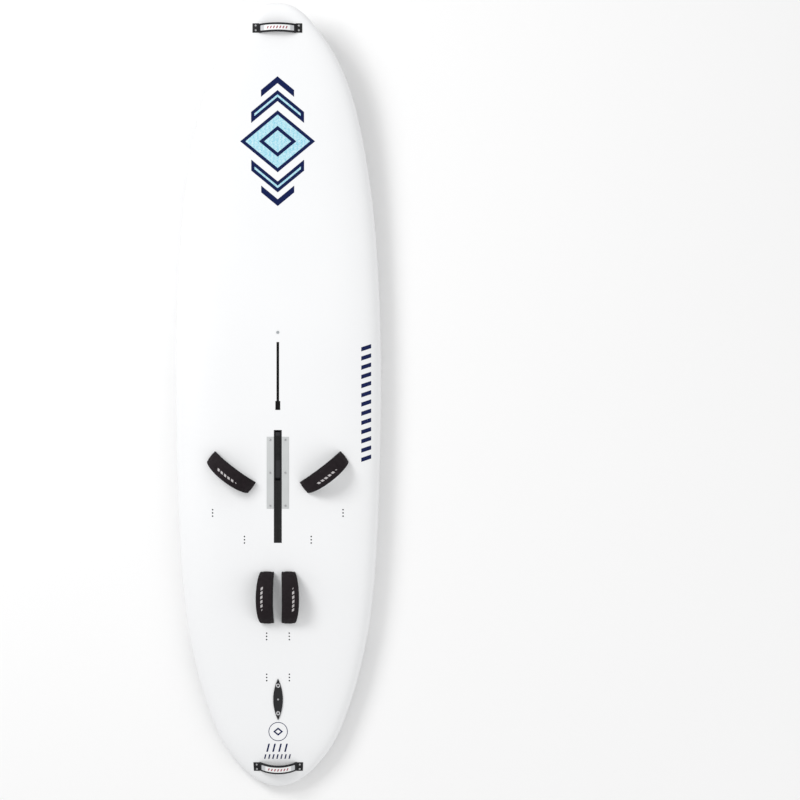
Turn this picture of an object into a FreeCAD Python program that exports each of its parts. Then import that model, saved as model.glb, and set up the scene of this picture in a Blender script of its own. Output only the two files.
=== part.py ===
import math
import os

import FreeCAD
import Part
import Sketcher
from FreeCAD import Placement, Rotation, Vector

# Windsurf board. X to the right, Y towards the nose, Z up. The origin is on the
# middle line, half-way along the board, at the lowest level of the bottom.

doc = FreeCAD.newDocument("windsurf_board")
sheet = doc.addObject("Spreadsheet::Sheet", "sizes")

SIZES = {
    # hull
    "board_length": 2850,
    "board_width": 750,
    "board_thickness": 148,
    "nose_lift": 170,
    "tail_lift": 14,
    "tail_slope": 0.07,
    "skin": 4,
    "cutaway_height": 10,
    # mast track, measured from the middle of the board
    "track_front": 197,
    "track_slot_length": 214,
    "track_slot_width": 9.5,
    "port_length": 33,
    "port_width": 18,
    "channel_width": 22,
    "channel_depth": 14,
    "track_lip": 7,
    "track_wall": 6,
    "track_end_wall": 12,
    "block_margin": 22,
    "block_end_margin": 9,
    # vent plug
    "vent_place": 232,
    "vent_housing_radius": 7.5,
    "vent_housing_depth": 24,
    "vent_head_radius": 5.5,
    "vent_head_height": 2.3,
    "vent_shank_radius": 4,
    "vent_shank_length": 13,
    "vent_seal_radius": 0.7,
    "vent_seat_depth": 4,
    "vent_head_sink": 0.2,
    "running_clearance": 0.05,
    # daggerboard, with heights and reaches measured from its pivot
    "pivot_place": -255,
    "pivot_depth": 48,
    "pin_radius": 6,
    "pin_half_length": 34,
    "bush_radius": 9,
    "blade_thickness": 19,
    "blade_reach": 593,
    "blade_drop": 96,
    "blade_rise": 18,
    "blade_front": 25,
    "lever_reach": 125,
    "lever_rise": 45,
    "lever_underside": 12,
    "lever_back": 40,
    "lever_slope_run": 25,
    "blade_tip_lean": 8,
    "blade_toe_length": 60,
    "grip_height": 2.5,
    "grip_length": 96,
    "grip_end_gap": 6,
    "grip_side_gap": 1,
    "bush_end_gap": 1,
    # daggerboard case
    "case_gap": 2,
    "case_wall": 3,
    "case_end_gap": 7.5,
    "case_front_gap": 4.5,
    "case_head_gap": 3,
    "deck_slot_length": 404.5,
    "deck_slot_gap": 0.5,
    "bottom_slot_gap": 11.5,
    "slot_lip_height": 2,
    "slot_lip_front": 51,
    "pad_radius": 20,
    "moving_clearance": 0.3,
    # deck plates over the pivot rails
    "plate_width": 26,
    "plate_length": 261.5,
    "plate_front": -147,
    "plate_height": 2.2,
    "plate_recess": 1.2,
    "plate_screw_inset": 11,
    "rail_depth": 64,
    # gasket at the bottom of the daggerboard case
    "frame_width": 67,
    "frame_height": 1.5,
    "frame_margin": 18,
    "lip_height": 0.8,
    "lip_width": 15.2,
    # fin box and its deck plate, measured from the tail
    "fin_place": 321.3,
    "fin_slot_length": 146.5,
    "fin_slot_width": 15,
    "fin_slot_depth": 56,
    "fin_box_wall": 8,
    "fin_block_margin": 16,
    "fin_bolt_spacing": 100.8,
    "fin_bolt_radius": 3,
    "fin_bolt_head_radius": 7.5,
    "fin_bolt_head_height": 3,
    "fin_bolt_engagement": 14,
    "fin_sleeve_wall": 4,
    "fin_plate_length": 151.5,
    "fin_plate_width": 35,
    "fin_plate_height": 5,
    "fin_seat_gap": 0.2,
    "fin_screw_lift": 0.15,
    # strap inserts: three holes in line
    "insert_hole_spacing": 11.7,
    "insert_hole_radius": 2.8,
    "insert_length": 36,
    "insert_width": 14,
    "insert_depth": 28,
    "insert_floor": 2,
    # foot straps
    "strap_rise": 66,
    "strap_anchor": 75,
    "strap_foot": 13,
    "strap_width": 46,
    "cover_width": 60,
    "webbing": 2.5,
    "cover": 6,
    "soft_gap": 0.7,
    # nose and tail handles
    "nose_handle_place": 92,
    "tail_handle_place": 75,
    "handle_half_span": 66,
    "handle_rise": 24,
    "handle_width": 34,
    "sleeve_thickness": 4,
    "label_length": 124,
    "label_width": 19,
    "label_thickness": 0.8,
    "end_plate_length": 24,
    "end_plate_height": 3,
    "plug_width": 10,
    "plug_depth": 26,
    # screws
    "screw_head_radius": 3.5,
    "strap_screw_head_radius": 5,
    "screw_head_height": 2.4,
    "screw_radius": 2.1,
    "screw_length": 22,
    "washer_height": 2,
    "washer_end_gap": 2,
    "washer_side_gap": 8,
}

for row, (name, value) in enumerate(SIZES.items(), start=1):
    sheet.set(f"A{row}", name)
    sheet.set(f"B{row}", str(value))
    sheet.setAlias(f"B{row}", name)
doc.recompute()


def size(expression):
    """Number that an expression over the sheet's sizes gives."""
    return float(sheet.evalExpression(expression))


# ---------------------------------------------------------------- hull skins

# Knots and rows of the control net along the board, as shares of half the length.
# A row is (share of the half-width, lift of the bottom, depth): the lift is a share of
# the nose lift ahead of the middle and of the tail lift behind it, the depth a share of
# the thickness. Behind the tail break the deck falls along a straight line instead.
KNOTS = [-0.93, -0.83, -0.63, -0.42, -0.18, 0.07, 0.28, 0.49, 0.69, 0.84, 0.94]
ROWS = [
    (0.00, 1.00, 0.30),
    (0.17, 1.00, 0.30),
    (0.50, 0.00, None),
    (0.70, 0.00, None),
    (0.88, 0.00, None),
    (0.96, 0.00, 1.00),
    (0.99, 0.00, 1.00),
    (1.005, 0.00, 1.00),
    (0.985, 0.00, 1.00),
    (0.93, 0.10, 0.93),
    (0.82, 0.31, 0.80),
    (0.665, 0.56, 0.66),
    (0.43, 0.78, 0.52),
    (0.17, 1.00, 0.28),
    (0.00, 1.00, 0.28),
]
TAIL_BREAK_ROW = 5
RAIL_SHARE = 0.42

# Half a cross-section, from the rail to the middle: share of the half-width, and share
# of the height between the rail and the crown. The middle strip comes out level.
DECK_SECTION = [(1, 0), (1, 0.55), (0.80, 0.93), (0.48, 1), (0.16, 1)]
BOTTOM_SECTION = [(1, 0), (1, 0.55), (0.82, 0.97), (0.50, 1), (0.17, 1)]
DEGREE = 3


def row_share(index):
    """Where a row of the net lies along the board, as a share of half the length."""
    knots = [-1] * (DEGREE + 1) + KNOTS + [1] * (DEGREE + 1)
    if index <= 1:
        return -1
    if index >= len(ROWS) - 2:
        return 1
    return sum(knots[index + 1:index + 4]) / DEGREE


TAIL_BREAK = f"(sizes.board_length / 2 * {row_share(TAIL_BREAK_ROW)})"
TAIL = "(-sizes.board_length / 2)"
NOSE = "(sizes.board_length / 2)"


def tail_deck(place):
    """Expression for the height of the deck's middle line behind the tail break."""
    return f"(sizes.board_thickness + sizes.tail_slope * (({place}) - {TAIL_BREAK}))"


def skin_surface(section, upwards, inset):
    """Surface of the deck (upwards) or the bottom, set inside the hull by the inset."""
    poles = []
    for index, (width_share, lift_share, depth_share) in enumerate(ROWS):
        share = row_share(index)
        place = share * (size("sizes.board_length") / 2 - inset)
        lift = size("sizes.nose_lift") if share > 0 else size("sizes.tail_lift")
        bottom = lift_share * lift
        if depth_share is None:
            deck = size(tail_deck(str(share * size("sizes.board_length") / 2)))
        else:
            deck = bottom + depth_share * size("sizes.board_thickness")
        rail = bottom + RAIL_SHARE * (deck - bottom)
        crown = deck - inset if upwards else bottom + inset
        half_width = width_share * size("sizes.board_width") / 2
        is_tip = width_share == 0
        half_width = 0 if is_tip else half_width - inset
        half = []
        for across, up in section:
            height = rail if is_tip else rail + up * (crown - rail)
            half.append(Vector(-across * half_width, place, height))
        mirrored = [Vector(-pole.x, pole.y, pole.z) for pole in reversed(half)]
        poles.append(half + mirrored)
    across_knots = 2 * len(section) - DEGREE + 1
    surface = Part.BSplineSurface()
    surface.buildFromPolesMultsKnots(
        poles,
        [DEGREE + 1] + [1] * len(KNOTS) + [DEGREE + 1],
        [DEGREE + 1] + [1] * (across_knots - 2) + [DEGREE + 1],
        [-1] + KNOTS + [1],
        [float(knot) for knot in range(across_knots)],
        False,
        False,
        DEGREE,
        DEGREE,
    )
    return surface


def solid_from(faces):
    """Solid that the faces close, right side out."""
    shell = Part.makeShell(faces)
    shell.sewShape()
    solid = Part.makeSolid(Part.Shell(shell.Faces))
    return solid if solid.Volume > 0 else solid.reversed()


deck_outside = skin_surface(DECK_SECTION, True, 0)
deck_inside = skin_surface(DECK_SECTION, True, size("sizes.skin"))
bottom_outside = skin_surface(BOTTOM_SECTION, False, 0)
bottom_inside = skin_surface(BOTTOM_SECTION, False, size("sizes.skin"))
last_knot = float(2 * len(DECK_SECTION) - DEGREE)
rail_rings = []
for knot in (0.0, last_knot):
    outer_rail = deck_outside.vIso(knot).toShape()
    inner_rail = deck_inside.vIso(knot).toShape()
    rail_rings.append(Part.makeRuledSurface(outer_rail, inner_rail))

deck_blank = solid_from([deck_outside.toShape(), deck_inside.toShape()] + rail_rings)
bottom_blank = solid_from([bottom_outside.toShape(), bottom_inside.toShape()] + rail_rings)
core_blank = solid_from([deck_inside.toShape(), bottom_inside.toShape()])
hull_blank = solid_from([deck_outside.toShape(), bottom_outside.toShape()])


def deck_frame(x, y):
    """Placement on the deck above (x, y), with its Z axis along the deck's normal."""
    point = Vector(x, y, size("sizes.board_thickness"))
    for _ in range(12):
        along, across = deck_outside.parameter(point)
        point.z = deck_outside.value(along, across).z
    normal = deck_outside.normal(along, across)
    if normal.z < 0:
        normal = normal.negative()
    forward = Vector(0, 1, 0)
    side = forward.cross(normal).normalize()
    return Placement(point, Rotation(side, normal.cross(side), normal, "ZXY"))


# ------------------------------------------------------ bodies and sketches

def place(thing, x="0", y="0", z="0"):
    """Bind where an object's origin lies."""
    for axis, expression in zip("xyz", (x, y, z)):
        thing.setExpression(f"Placement.Base.{axis}", expression)


def new_body(label):
    body = doc.addObject("PartDesign::Body", label)
    body.Label = label
    return body


def origin_feature(body, role):
    return next(item for item in body.Origin.OriginFeatures if item.Role == role)


def new_sketch(body, plane="XY_Plane", lift="0"):
    sketch = body.newObject("Sketcher::SketchObject", f"{body.Name}_sketch")
    sketch.AttachmentSupport = (origin_feature(body, plane), "")
    sketch.MapMode = "FlatFace"
    sketch.setExpression("AttachmentOffset.Base.z", lift)
    return sketch


def bind(sketch, kind, references, expression):
    """Add a dimension to a sketch and bind it to the sheet."""
    index = sketch.addConstraint(Sketcher.Constraint(kind, *references, size(expression)))
    sketch.setExpression(f"Constraints[{index}]", expression)


def outline(sketch, corners):
    """Closed outline of straight lines through corners given as pairs of expressions."""
    points = [Vector(size(x), size(y), 0) for x, y in corners]
    first = sketch.GeometryCount
    count = len(points)
    for index, point in enumerate(points):
        sketch.addGeometry(Part.LineSegment(point, points[(index + 1) % count]))
    for index, (x, y) in enumerate(corners):
        line = first + index
        following = first + (index + 1) % count
        sketch.addConstraint(Sketcher.Constraint("Coincident", line, 2, following, 1))
        bind(sketch, "DistanceX", (-1, 1, line, 1), x)
        bind(sketch, "DistanceY", (-1, 1, line, 1), y)


def rectangle(sketch, width, height, x="0", y="0"):
    """Rectangle centred on x, y."""
    left, right = f"({x}) - ({width}) / 2", f"({x}) + ({width}) / 2"
    low, high = f"({y}) - ({height}) / 2", f"({y}) + ({height}) / 2"
    outline(sketch, [(left, low), (right, low), (right, high), (left, high)])


def circle(sketch, radius, x="0", y="0"):
    centre = Vector(size(x), size(y), 0)
    index = sketch.addGeometry(Part.Circle(centre, Vector(0, 0, 1), size(radius)))
    bind(sketch, "DistanceX", (-1, 1, index, 3), x)
    bind(sketch, "DistanceY", (-1, 1, index, 3), y)
    bind(sketch, "Radius", (index,), radius)


def round_slot(sketch, width, length):
    """Slot with round ends, along the sketch's second axis and centred on its origin."""
    radius = size(width) / 2
    reach = size(length) / 2 - radius
    up = Vector(0, 0, 1)
    top = Part.Circle(Vector(0, reach, 0), up, radius)
    foot = Part.Circle(Vector(0, -reach, 0), up, radius)
    sketch.addGeometry(Part.ArcOfCircle(top, 0, math.pi))
    sketch.addGeometry(Part.ArcOfCircle(foot, math.pi, 2 * math.pi))
    sketch.addGeometry(Part.LineSegment(Vector(-radius, reach, 0), Vector(-radius, -reach, 0)))
    sketch.addGeometry(Part.LineSegment(Vector(radius, -reach, 0), Vector(radius, reach, 0)))
    for ends in ((0, 2, 2, 1), (2, 2, 1, 1), (1, 2, 3, 1), (3, 2, 0, 1)):
        sketch.addConstraint(Sketcher.Constraint("Tangent", *ends))
    sketch.addConstraint(Sketcher.Constraint("Equal", 0, 1))
    sketch.addConstraint(Sketcher.Constraint("Symmetric", 0, 3, 1, 3, -1, 1))
    sketch.addConstraint(Sketcher.Constraint("Vertical", 2))
    bind(sketch, "Radius", (0,), f"({width}) / 2")
    bind(sketch, "DistanceY", (1, 3, 0, 3), f"({length}) - ({width})")


def lens(sketch, width, length):
    """Pointed oval between two arcs, along the sketch's second axis."""
    half_length = size(length) / 2
    half_width = size(width) / 2
    low, high = Vector(0, -half_length, 0), Vector(0, half_length, 0)
    sketch.addGeometry(Part.Arc(low, Vector(half_width, 0, 0), high))
    sketch.addGeometry(Part.Arc(high, Vector(-half_width, 0, 0), low))
    sketch.addConstraint(Sketcher.Constraint("Coincident", 0, 2, 1, 1))
    sketch.addConstraint(Sketcher.Constraint("Coincident", 1, 2, 0, 1))
    bind(sketch, "DistanceX", (-1, 1, 0, 1), "0")
    bind(sketch, "DistanceX", (-1, 1, 0, 2), "0")
    bind(sketch, "DistanceY", (-1, 1, 0, 1), f"-({length}) / 2")
    bind(sketch, "DistanceY", (-1, 1, 0, 2), f"({length}) / 2")
    radius = f"(({length})^2 + ({width})^2) / (4 * ({width}))"
    bind(sketch, "Radius", (0,), radius)
    bind(sketch, "Radius", (1,), radius)


def pad(body, sketch, length, reversed_way=False, both_ways=False):
    feature = body.newObject("PartDesign::Pad", f"{body.Name}_pad")
    feature.Profile = sketch
    feature.setExpression("Length", length)
    feature.Reversed = reversed_way
    feature.Midplane = both_ways
    doc.recompute()
    return feature


def pocket(body, sketch, length, reversed_way=False, both_ways=False):
    """Cut a sketch into its body, and make sure that it takes something away."""
    before = body.Shape.Volume
    feature = body.newObject("PartDesign::Pocket", f"{body.Name}_pocket")
    feature.Profile = sketch
    feature.setExpression("Length", length)
    feature.Reversed = reversed_way
    feature.Midplane = both_ways
    doc.recompute()
    if body.Shape.Volume > before - 0.01:
        raise RuntimeError(f"a pocket cuts nothing from {body.Label}")
    return feature


def revolve(body, sketch, axis, angle="360", both_ways=False):
    feature = body.newObject("PartDesign::Revolution", f"{body.Name}_revolution")
    feature.Profile = sketch
    feature.ReferenceAxis = (origin_feature(body, axis), [""])
    feature.setExpression("Angle", angle)
    feature.Midplane = both_ways
    doc.recompute()
    return feature


def fillet(body, radius, chosen):
    """Round the edges of the body's solid that the chosen test picks."""
    base = body.Tip
    names = [f"Edge{n}" for n, edge in enumerate(base.Shape.Edges, start=1) if chosen(edge)]
    feature = body.newObject("PartDesign::Fillet", f"{body.Name}_fillet")
    feature.Base = (base, names)
    feature.setExpression("Radius", radius)
    doc.recompute()
    return feature


def runs_along(edge, axis):
    """Whether an edge is straight and lies along an axis."""
    if edge.Curve.TypeId != "Part::GeomLine":
        return False
    return abs(abs(edge.Curve.Direction.dot(axis)) - 1) < 1e-6


def primitive(kind, label, sizes_of, x="0", y="0", z="0"):
    """Part primitive with its own sizes and place bound to the sheet."""
    thing = doc.addObject(f"Part::{kind}", label)
    thing.Label = label
    for name, expression in sizes_of.items():
        thing.setExpression(name, expression)
    place(thing, x, y, z)
    return thing


def block(label, width, length, height, x="0", y="0", z="0"):
    """Box centred on x and y, standing on z."""
    sizes_of = {"Width": length, "Length": width, "Height": height}
    return primitive("Box", label, sizes_of, f"({x}) - ({width}) / 2", f"({y}) - ({length}) / 2", z)


def cylinder(label, radius, height, x="0", y="0", z="0"):
    return primitive("Cylinder", label, {"Radius": radius, "Height": height}, x, y, z)


def cross_cylinder(label, radius, start, length, y="0", z="0"):
    """Cylinder along X from its start."""
    thing = cylinder(label, radius, length, start, y, z)
    thing.Placement.Rotation = Rotation(Vector(0, 1, 0), 90)
    return thing


def combined(kind, label, shapes):
    """Fuse, common part or group of several objects."""
    thing = doc.addObject(f"Part::{kind}", label)
    thing.Label = label
    setattr(thing, "Links" if kind == "Compound" else "Shapes", shapes)
    return thing


def cut(label, base, tools):
    """Base with the tools cut out of it."""
    thing = doc.addObject("Part::Cut", label)
    thing.Label = label
    thing.Base = base
    thing.Tool = tools[0] if len(tools) == 1 else combined("MultiFuse", f"{label}_tools", tools)
    return thing


def feature(label, shape):
    thing = doc.addObject("Part::Feature", label)
    thing.Label = label
    thing.Shape = shape
    return thing


def trimmed(label, thing, room):
    """What of a thing lies inside a room, such as the hull's outline."""
    doc.recompute()
    return feature(label, thing.Shape.common(room))


parts = []


def keep(*things):
    """Put finished sub-parts on the list of what is written out."""
    parts.extend(things)


# ---------------------------------------------------------------- mast track

DECK = "sizes.board_thickness"
UNDER_SKIN = "(sizes.board_thickness - sizes.skin)"
TRACK_LENGTH = "(sizes.track_slot_length + sizes.port_length)"
TRACK_MIDDLE = f"(sizes.track_front - {TRACK_LENGTH} / 2)"
TRACK_BOX_WIDTH = "(sizes.channel_width + 2 * sizes.track_wall)"
TRACK_BOX_LENGTH = f"({TRACK_LENGTH} + 2 * sizes.track_end_wall)"
TRACK_BOX_DEPTH = "(sizes.track_lip + sizes.channel_depth + sizes.track_wall)"
PORT_MIDDLE = f"(sizes.port_length - {TRACK_LENGTH}) / 2"

mast_track_box = new_body("mast_track_box")
place(mast_track_box, "0", TRACK_MIDDLE, UNDER_SKIN)
sketch = new_sketch(mast_track_box)
rectangle(sketch, TRACK_BOX_WIDTH, TRACK_BOX_LENGTH)
pad(mast_track_box, sketch, TRACK_BOX_DEPTH, reversed_way=True)
sketch = new_sketch(mast_track_box)
rectangle(sketch, "sizes.track_slot_width", TRACK_LENGTH)
pocket(mast_track_box, sketch, "sizes.track_lip")
sketch = new_sketch(mast_track_box)
rectangle(sketch, "sizes.port_width", "sizes.port_length", "0", PORT_MIDDLE)
pocket(mast_track_box, sketch, "sizes.track_lip")
sketch = new_sketch(mast_track_box, "XZ_Plane")
rectangle(sketch, "sizes.channel_width", "sizes.channel_depth",
          "0", "-sizes.track_lip - sizes.channel_depth / 2")
pocket(mast_track_box, sketch, TRACK_LENGTH, both_ways=True)

TRACK_BLOCK = [
    f"({TRACK_BOX_WIDTH} + 2 * sizes.block_margin)",
    f"({TRACK_BOX_LENGTH} + 2 * sizes.block_end_margin)",
    f"({TRACK_BOX_DEPTH} + sizes.block_margin)",
]
mast_track_block = cut(
    "mast_track_block",
    block("track_block_blank", *TRACK_BLOCK, "0", TRACK_MIDDLE, f"{UNDER_SKIN} - {TRACK_BLOCK[2]}"),
    [block("track_block_room", TRACK_BOX_WIDTH, TRACK_BOX_LENGTH, TRACK_BOX_DEPTH,
           "0", TRACK_MIDDLE, f"{UNDER_SKIN} - {TRACK_BOX_DEPTH}")],
)
keep(mast_track_box, mast_track_block)

# ---------------------------------------------------------------- vent plug

VENT_ROOM = "(sizes.vent_head_radius + 4 * sizes.running_clearance)"
vent_housing = new_body("vent_housing")
place(vent_housing, "0", "sizes.vent_place", DECK)
sketch = new_sketch(vent_housing)
circle(sketch, "sizes.vent_housing_radius")
pad(vent_housing, sketch, "sizes.vent_housing_depth", reversed_way=True)
sketch = new_sketch(vent_housing)
circle(sketch, VENT_ROOM)
pocket(vent_housing, sketch, "sizes.vent_seat_depth")
sketch = new_sketch(vent_housing)
circle(sketch, "sizes.vent_shank_radius + sizes.running_clearance")
pocket(vent_housing, sketch, "sizes.vent_housing_depth - sizes.skin / 2")

VENT_HEAD_TOP = "(-sizes.vent_head_sink)"
VENT_HEAD_LOW = f"({VENT_HEAD_TOP} - sizes.vent_head_height)"
vent_screw = new_body("vent_screw")
place(vent_screw, "0", "sizes.vent_place", DECK)
sketch = new_sketch(vent_screw, lift=VENT_HEAD_TOP)
circle(sketch, "sizes.vent_head_radius")
pad(vent_screw, sketch, "sizes.vent_head_height", reversed_way=True)
sketch = new_sketch(vent_screw, lift=VENT_HEAD_LOW)
circle(sketch, "sizes.vent_shank_radius")
pad(vent_screw, sketch, "sizes.vent_shank_length", reversed_way=True)
sketch = new_sketch(vent_screw, lift=VENT_HEAD_TOP)
rectangle(sketch, "1.5 * sizes.vent_head_radius", "sizes.vent_head_radius / 4")
pocket(vent_screw, sketch, "sizes.vent_head_height / 2")

SEAL_PATH = "(sizes.vent_shank_radius + sizes.vent_seal_radius + sizes.running_clearance)"
vent_o_ring = primitive(
    "Torus", "vent_o_ring", {"Radius1": SEAL_PATH, "Radius2": "sizes.vent_seal_radius"},
    "0", "sizes.vent_place", f"{DECK} + ({VENT_HEAD_LOW} - sizes.vent_seat_depth) / 2",
)
keep(vent_housing, vent_screw, vent_o_ring)

# -------------------------------------------------------------- daggerboard

PIVOT_HEIGHT = "(sizes.board_thickness - sizes.pivot_depth)"
CASE_INNER = "(sizes.blade_thickness + 2 * sizes.case_gap)"
CASE_OUTER = f"({CASE_INNER} + 2 * sizes.case_wall)"
CASE_FRONT = "(sizes.pivot_place + sizes.lever_reach + sizes.case_front_gap)"
CASE_BACK = "(sizes.pivot_place - sizes.blade_reach - sizes.case_end_gap)"
SLOT_FRONT = "(sizes.pivot_place + sizes.blade_drop + sizes.bottom_slot_gap)"
CASE_ROOF = f"({PIVOT_HEIGHT} + sizes.blade_rise + sizes.case_head_gap)"
CASE_FLOOR = "(sizes.frame_height + sizes.lip_height)"
DECK_SLOT = "(sizes.blade_thickness + 2 * sizes.deck_slot_gap)"
DECK_SLOT_BACK = f"({CASE_FRONT} - sizes.deck_slot_length)"


def span_block(label, width, front, back, low, high, x="0"):
    """Box between two places along the board and two heights."""
    length = f"({front} - {back})"
    return block(label, width, length, f"({high}) - ({low})", x, f"({front} + {back}) / 2", low)


daggerboard = new_body("daggerboard_blade")
place(daggerboard, "0", "sizes.pivot_place", PIVOT_HEIGHT)
sketch = new_sketch(daggerboard, "YZ_Plane")
outline(sketch, [
    ("sizes.lever_reach", "sizes.lever_rise"),
    ("-sizes.lever_back", "sizes.lever_rise"),
    ("-sizes.lever_back - sizes.lever_slope_run", "sizes.blade_rise"),
    ("-sizes.blade_reach + sizes.blade_tip_lean", "sizes.blade_rise"),
    ("-sizes.blade_reach", "-sizes.blade_drop / 8"),
    ("-sizes.blade_reach + sizes.blade_toe_length", "-sizes.blade_drop"),
    ("sizes.blade_front", "-sizes.blade_drop"),
    ("sizes.blade_front", "sizes.lever_underside"),
    ("sizes.lever_reach", "sizes.lever_underside"),
])
circle(sketch, "sizes.pin_radius")
pad(daggerboard, sketch, "sizes.blade_thickness", both_ways=True)
TIP_REACH = size("sizes.blade_reach") - 1
TIP_ROUND = "sizes.blade_thickness * 1.3"
EDGE_ROUND = "sizes.blade_thickness * 0.42"
fillet(daggerboard, TIP_ROUND, lambda edge: (
    runs_along(edge, Vector(1, 0, 0)) and edge.CenterOfMass.y < -TIP_REACH))
fillet(daggerboard, EDGE_ROUND, lambda edge: (
    edge.Curve.TypeId == "Part::GeomLine"
    and abs(edge.CenterOfMass.z + size("sizes.blade_drop")) < 0.01
    and runs_along(edge, Vector(0, 1, 0))))

lever_grip_pad = block(
    "lever_grip_pad", "sizes.blade_thickness - 2 * sizes.grip_side_gap",
    "sizes.grip_length", "sizes.grip_height", "0",
    "sizes.pivot_place + sizes.lever_reach - sizes.grip_end_gap - sizes.grip_length / 2",
    f"{PIVOT_HEIGHT} + sizes.lever_rise",
)
pivot_pin = cross_cylinder(
    "pivot_pin", "sizes.pin_radius", "-sizes.pin_half_length", "2 * sizes.pin_half_length",
    "sizes.pivot_place", PIVOT_HEIGHT,
)

case_shell = cut(
    "case_shell",
    combined("MultiFuse", "case_blank", [
        span_block("case_low", CASE_OUTER, f"({CASE_FRONT} + sizes.case_wall)",
                   f"({CASE_BACK} - sizes.case_wall)",
                   CASE_FLOOR, f"{CASE_ROOF} + sizes.case_wall"),
        span_block("case_high", CASE_OUTER, f"({CASE_FRONT} + sizes.case_wall)",
                   f"({DECK_SLOT_BACK} - sizes.case_wall)", CASE_ROOF, DECK),
    ]),
    [
        span_block("case_room", CASE_INNER, CASE_FRONT, CASE_BACK,
                   f"{CASE_FLOOR} + sizes.case_wall", CASE_ROOF),
        span_block("case_mouth", CASE_INNER, SLOT_FRONT, CASE_BACK,
                   CASE_FLOOR, f"{CASE_FLOOR} + 2 * sizes.case_wall"),
        span_block("case_head", DECK_SLOT, CASE_FRONT, DECK_SLOT_BACK,
                   f"{CASE_ROOF} - sizes.case_wall", f"{DECK} + sizes.case_wall"),
        cross_cylinder("case_bore", "sizes.bush_radius", f"-{CASE_OUTER}", f"2 * {CASE_OUTER}",
                       "sizes.pivot_place", PIVOT_HEIGHT),
    ],
)
keep(daggerboard, lever_grip_pad, pivot_pin, trimmed("daggerboard_case", case_shell, hull_blank))

RAIL_MIDDLE = f"({CASE_OUTER} / 2 + sizes.plate_width / 2)"
PLATE_BACK = "(sizes.plate_front - sizes.plate_length)"
PLATE_FLOOR = f"({DECK} - sizes.plate_recess)"
BUSH_LENGTH = f"(sizes.pin_half_length - {CASE_INNER} / 2 + sizes.bush_end_gap)"
PIVOT_BORE = ("-2 * sizes.pin_half_length", "4 * sizes.pin_half_length")
screw_places = [
    "(sizes.plate_front - sizes.plate_screw_inset)",
    f"((sizes.plate_front + {PLATE_BACK}) / 2)",
    f"({PLATE_BACK} + sizes.plate_screw_inset)",
]
bushes = []
pads = []
deck_screw_spots = []
for name, sign in (("left", "-1"), ("right", "1")):
    middle = f"({sign}) * {RAIL_MIDDLE}"
    plate_holes = []
    rail_holes = []
    for index, spot in enumerate(screw_places):
        plate_holes.append(cylinder(f"plate_hole_{name}_{index}", "sizes.screw_radius",
                                    "4 * sizes.plate_height", middle, spot, f"{DECK} - sizes.skin"))
        rail_holes.append(cylinder(f"rail_hole_{name}_{index}", "sizes.screw_radius",
                                   "sizes.screw_length + sizes.skin", middle, spot,
                                   f"{DECK} + sizes.plate_height - sizes.plate_recess"
                                   " - sizes.screw_length"))
        deck_screw_spots.append(Vector(size(middle), size(spot), 0))
    bore_start = f"{CASE_OUTER} / 2 - sizes.bush_end_gap"
    if sign == "-1":
        bore_start = f"-({bore_start}) - {BUSH_LENGTH}"
    rail_holes.append(cross_cylinder(f"rail_bore_{name}", "sizes.bush_radius", bore_start,
                                     BUSH_LENGTH, "sizes.pivot_place", PIVOT_HEIGHT))
    rail = cut(
        f"rail_{name}",
        span_block(f"rail_blank_{name}", "sizes.plate_width", "sizes.plate_front", PLATE_BACK,
                   f"{UNDER_SKIN} - sizes.rail_depth", UNDER_SKIN, middle),
        rail_holes,
    )
    keep(trimmed(f"pivot_rail_{name}", rail, core_blank))
    keep(cut(
        f"deck_plate_{name}",
        span_block(f"plate_blank_{name}", "sizes.plate_width", "sizes.plate_front", PLATE_BACK,
                   PLATE_FLOOR, f"{PLATE_FLOOR} + sizes.plate_height", middle),
        plate_holes,
    ))
    bush_cut = f"({BUSH_LENGTH} - 2 * sizes.bush_end_gap)"
    bush_start = f"{CASE_INNER} / 2" if sign == "1" else f"-{CASE_INNER} / 2 - {bush_cut}"
    bushes.append(cut(
        f"bush_{name}",
        cross_cylinder(f"bush_blank_{name}", "sizes.bush_radius", bush_start,
                       bush_cut, "sizes.pivot_place", PIVOT_HEIGHT),
        [cross_cylinder(f"bush_bore_{name}", "sizes.pin_radius + sizes.running_clearance",
                        *PIVOT_BORE, "sizes.pivot_place", PIVOT_HEIGHT)],
    ))
    pad_thickness = "(sizes.case_gap - sizes.moving_clearance)"
    pad_start = f"{CASE_INNER} / 2 - {pad_thickness}" if sign == "1" else f"-{CASE_INNER} / 2"
    pads.append(cut(
        f"friction_{name}",
        cross_cylinder(f"friction_blank_{name}", "sizes.pad_radius", pad_start,
                       pad_thickness, "sizes.pivot_place", PIVOT_HEIGHT),
        [cross_cylinder(f"friction_bore_{name}", "sizes.bush_radius",
                        *PIVOT_BORE, "sizes.pivot_place", PIVOT_HEIGHT)],
    ))
    lip_width = f"({DECK_SLOT} / 2 - sizes.moving_clearance)"
    lip = span_block(
        f"lip_blank_{name}", lip_width,
        "(sizes.pivot_place - sizes.slot_lip_front)", DECK_SLOT_BACK,
        f"{DECK} - sizes.skin", f"{DECK} - sizes.skin + sizes.slot_lip_height",
        f"({sign}) * ({DECK_SLOT} / 2 - {lip_width} / 2)",
    )
    keep(trimmed(f"deck_slot_lip_{name}", lip, hull_blank))
    gasket_inner = "(sizes.blade_thickness / 2 + sizes.moving_clearance)"
    keep(span_block(
        f"bottom_gasket_lip_{name}", "sizes.lip_width",
        f"({SLOT_FRONT} + sizes.case_wall)", f"({CASE_BACK} - sizes.case_wall)",
        "sizes.frame_height", "sizes.frame_height + sizes.lip_height",
        f"({sign}) * ({gasket_inner} + sizes.lip_width / 2)",
    ))
keep(combined("Compound", "pivot_bushes", bushes))
keep(combined("Compound", "friction_pads", pads))

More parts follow.
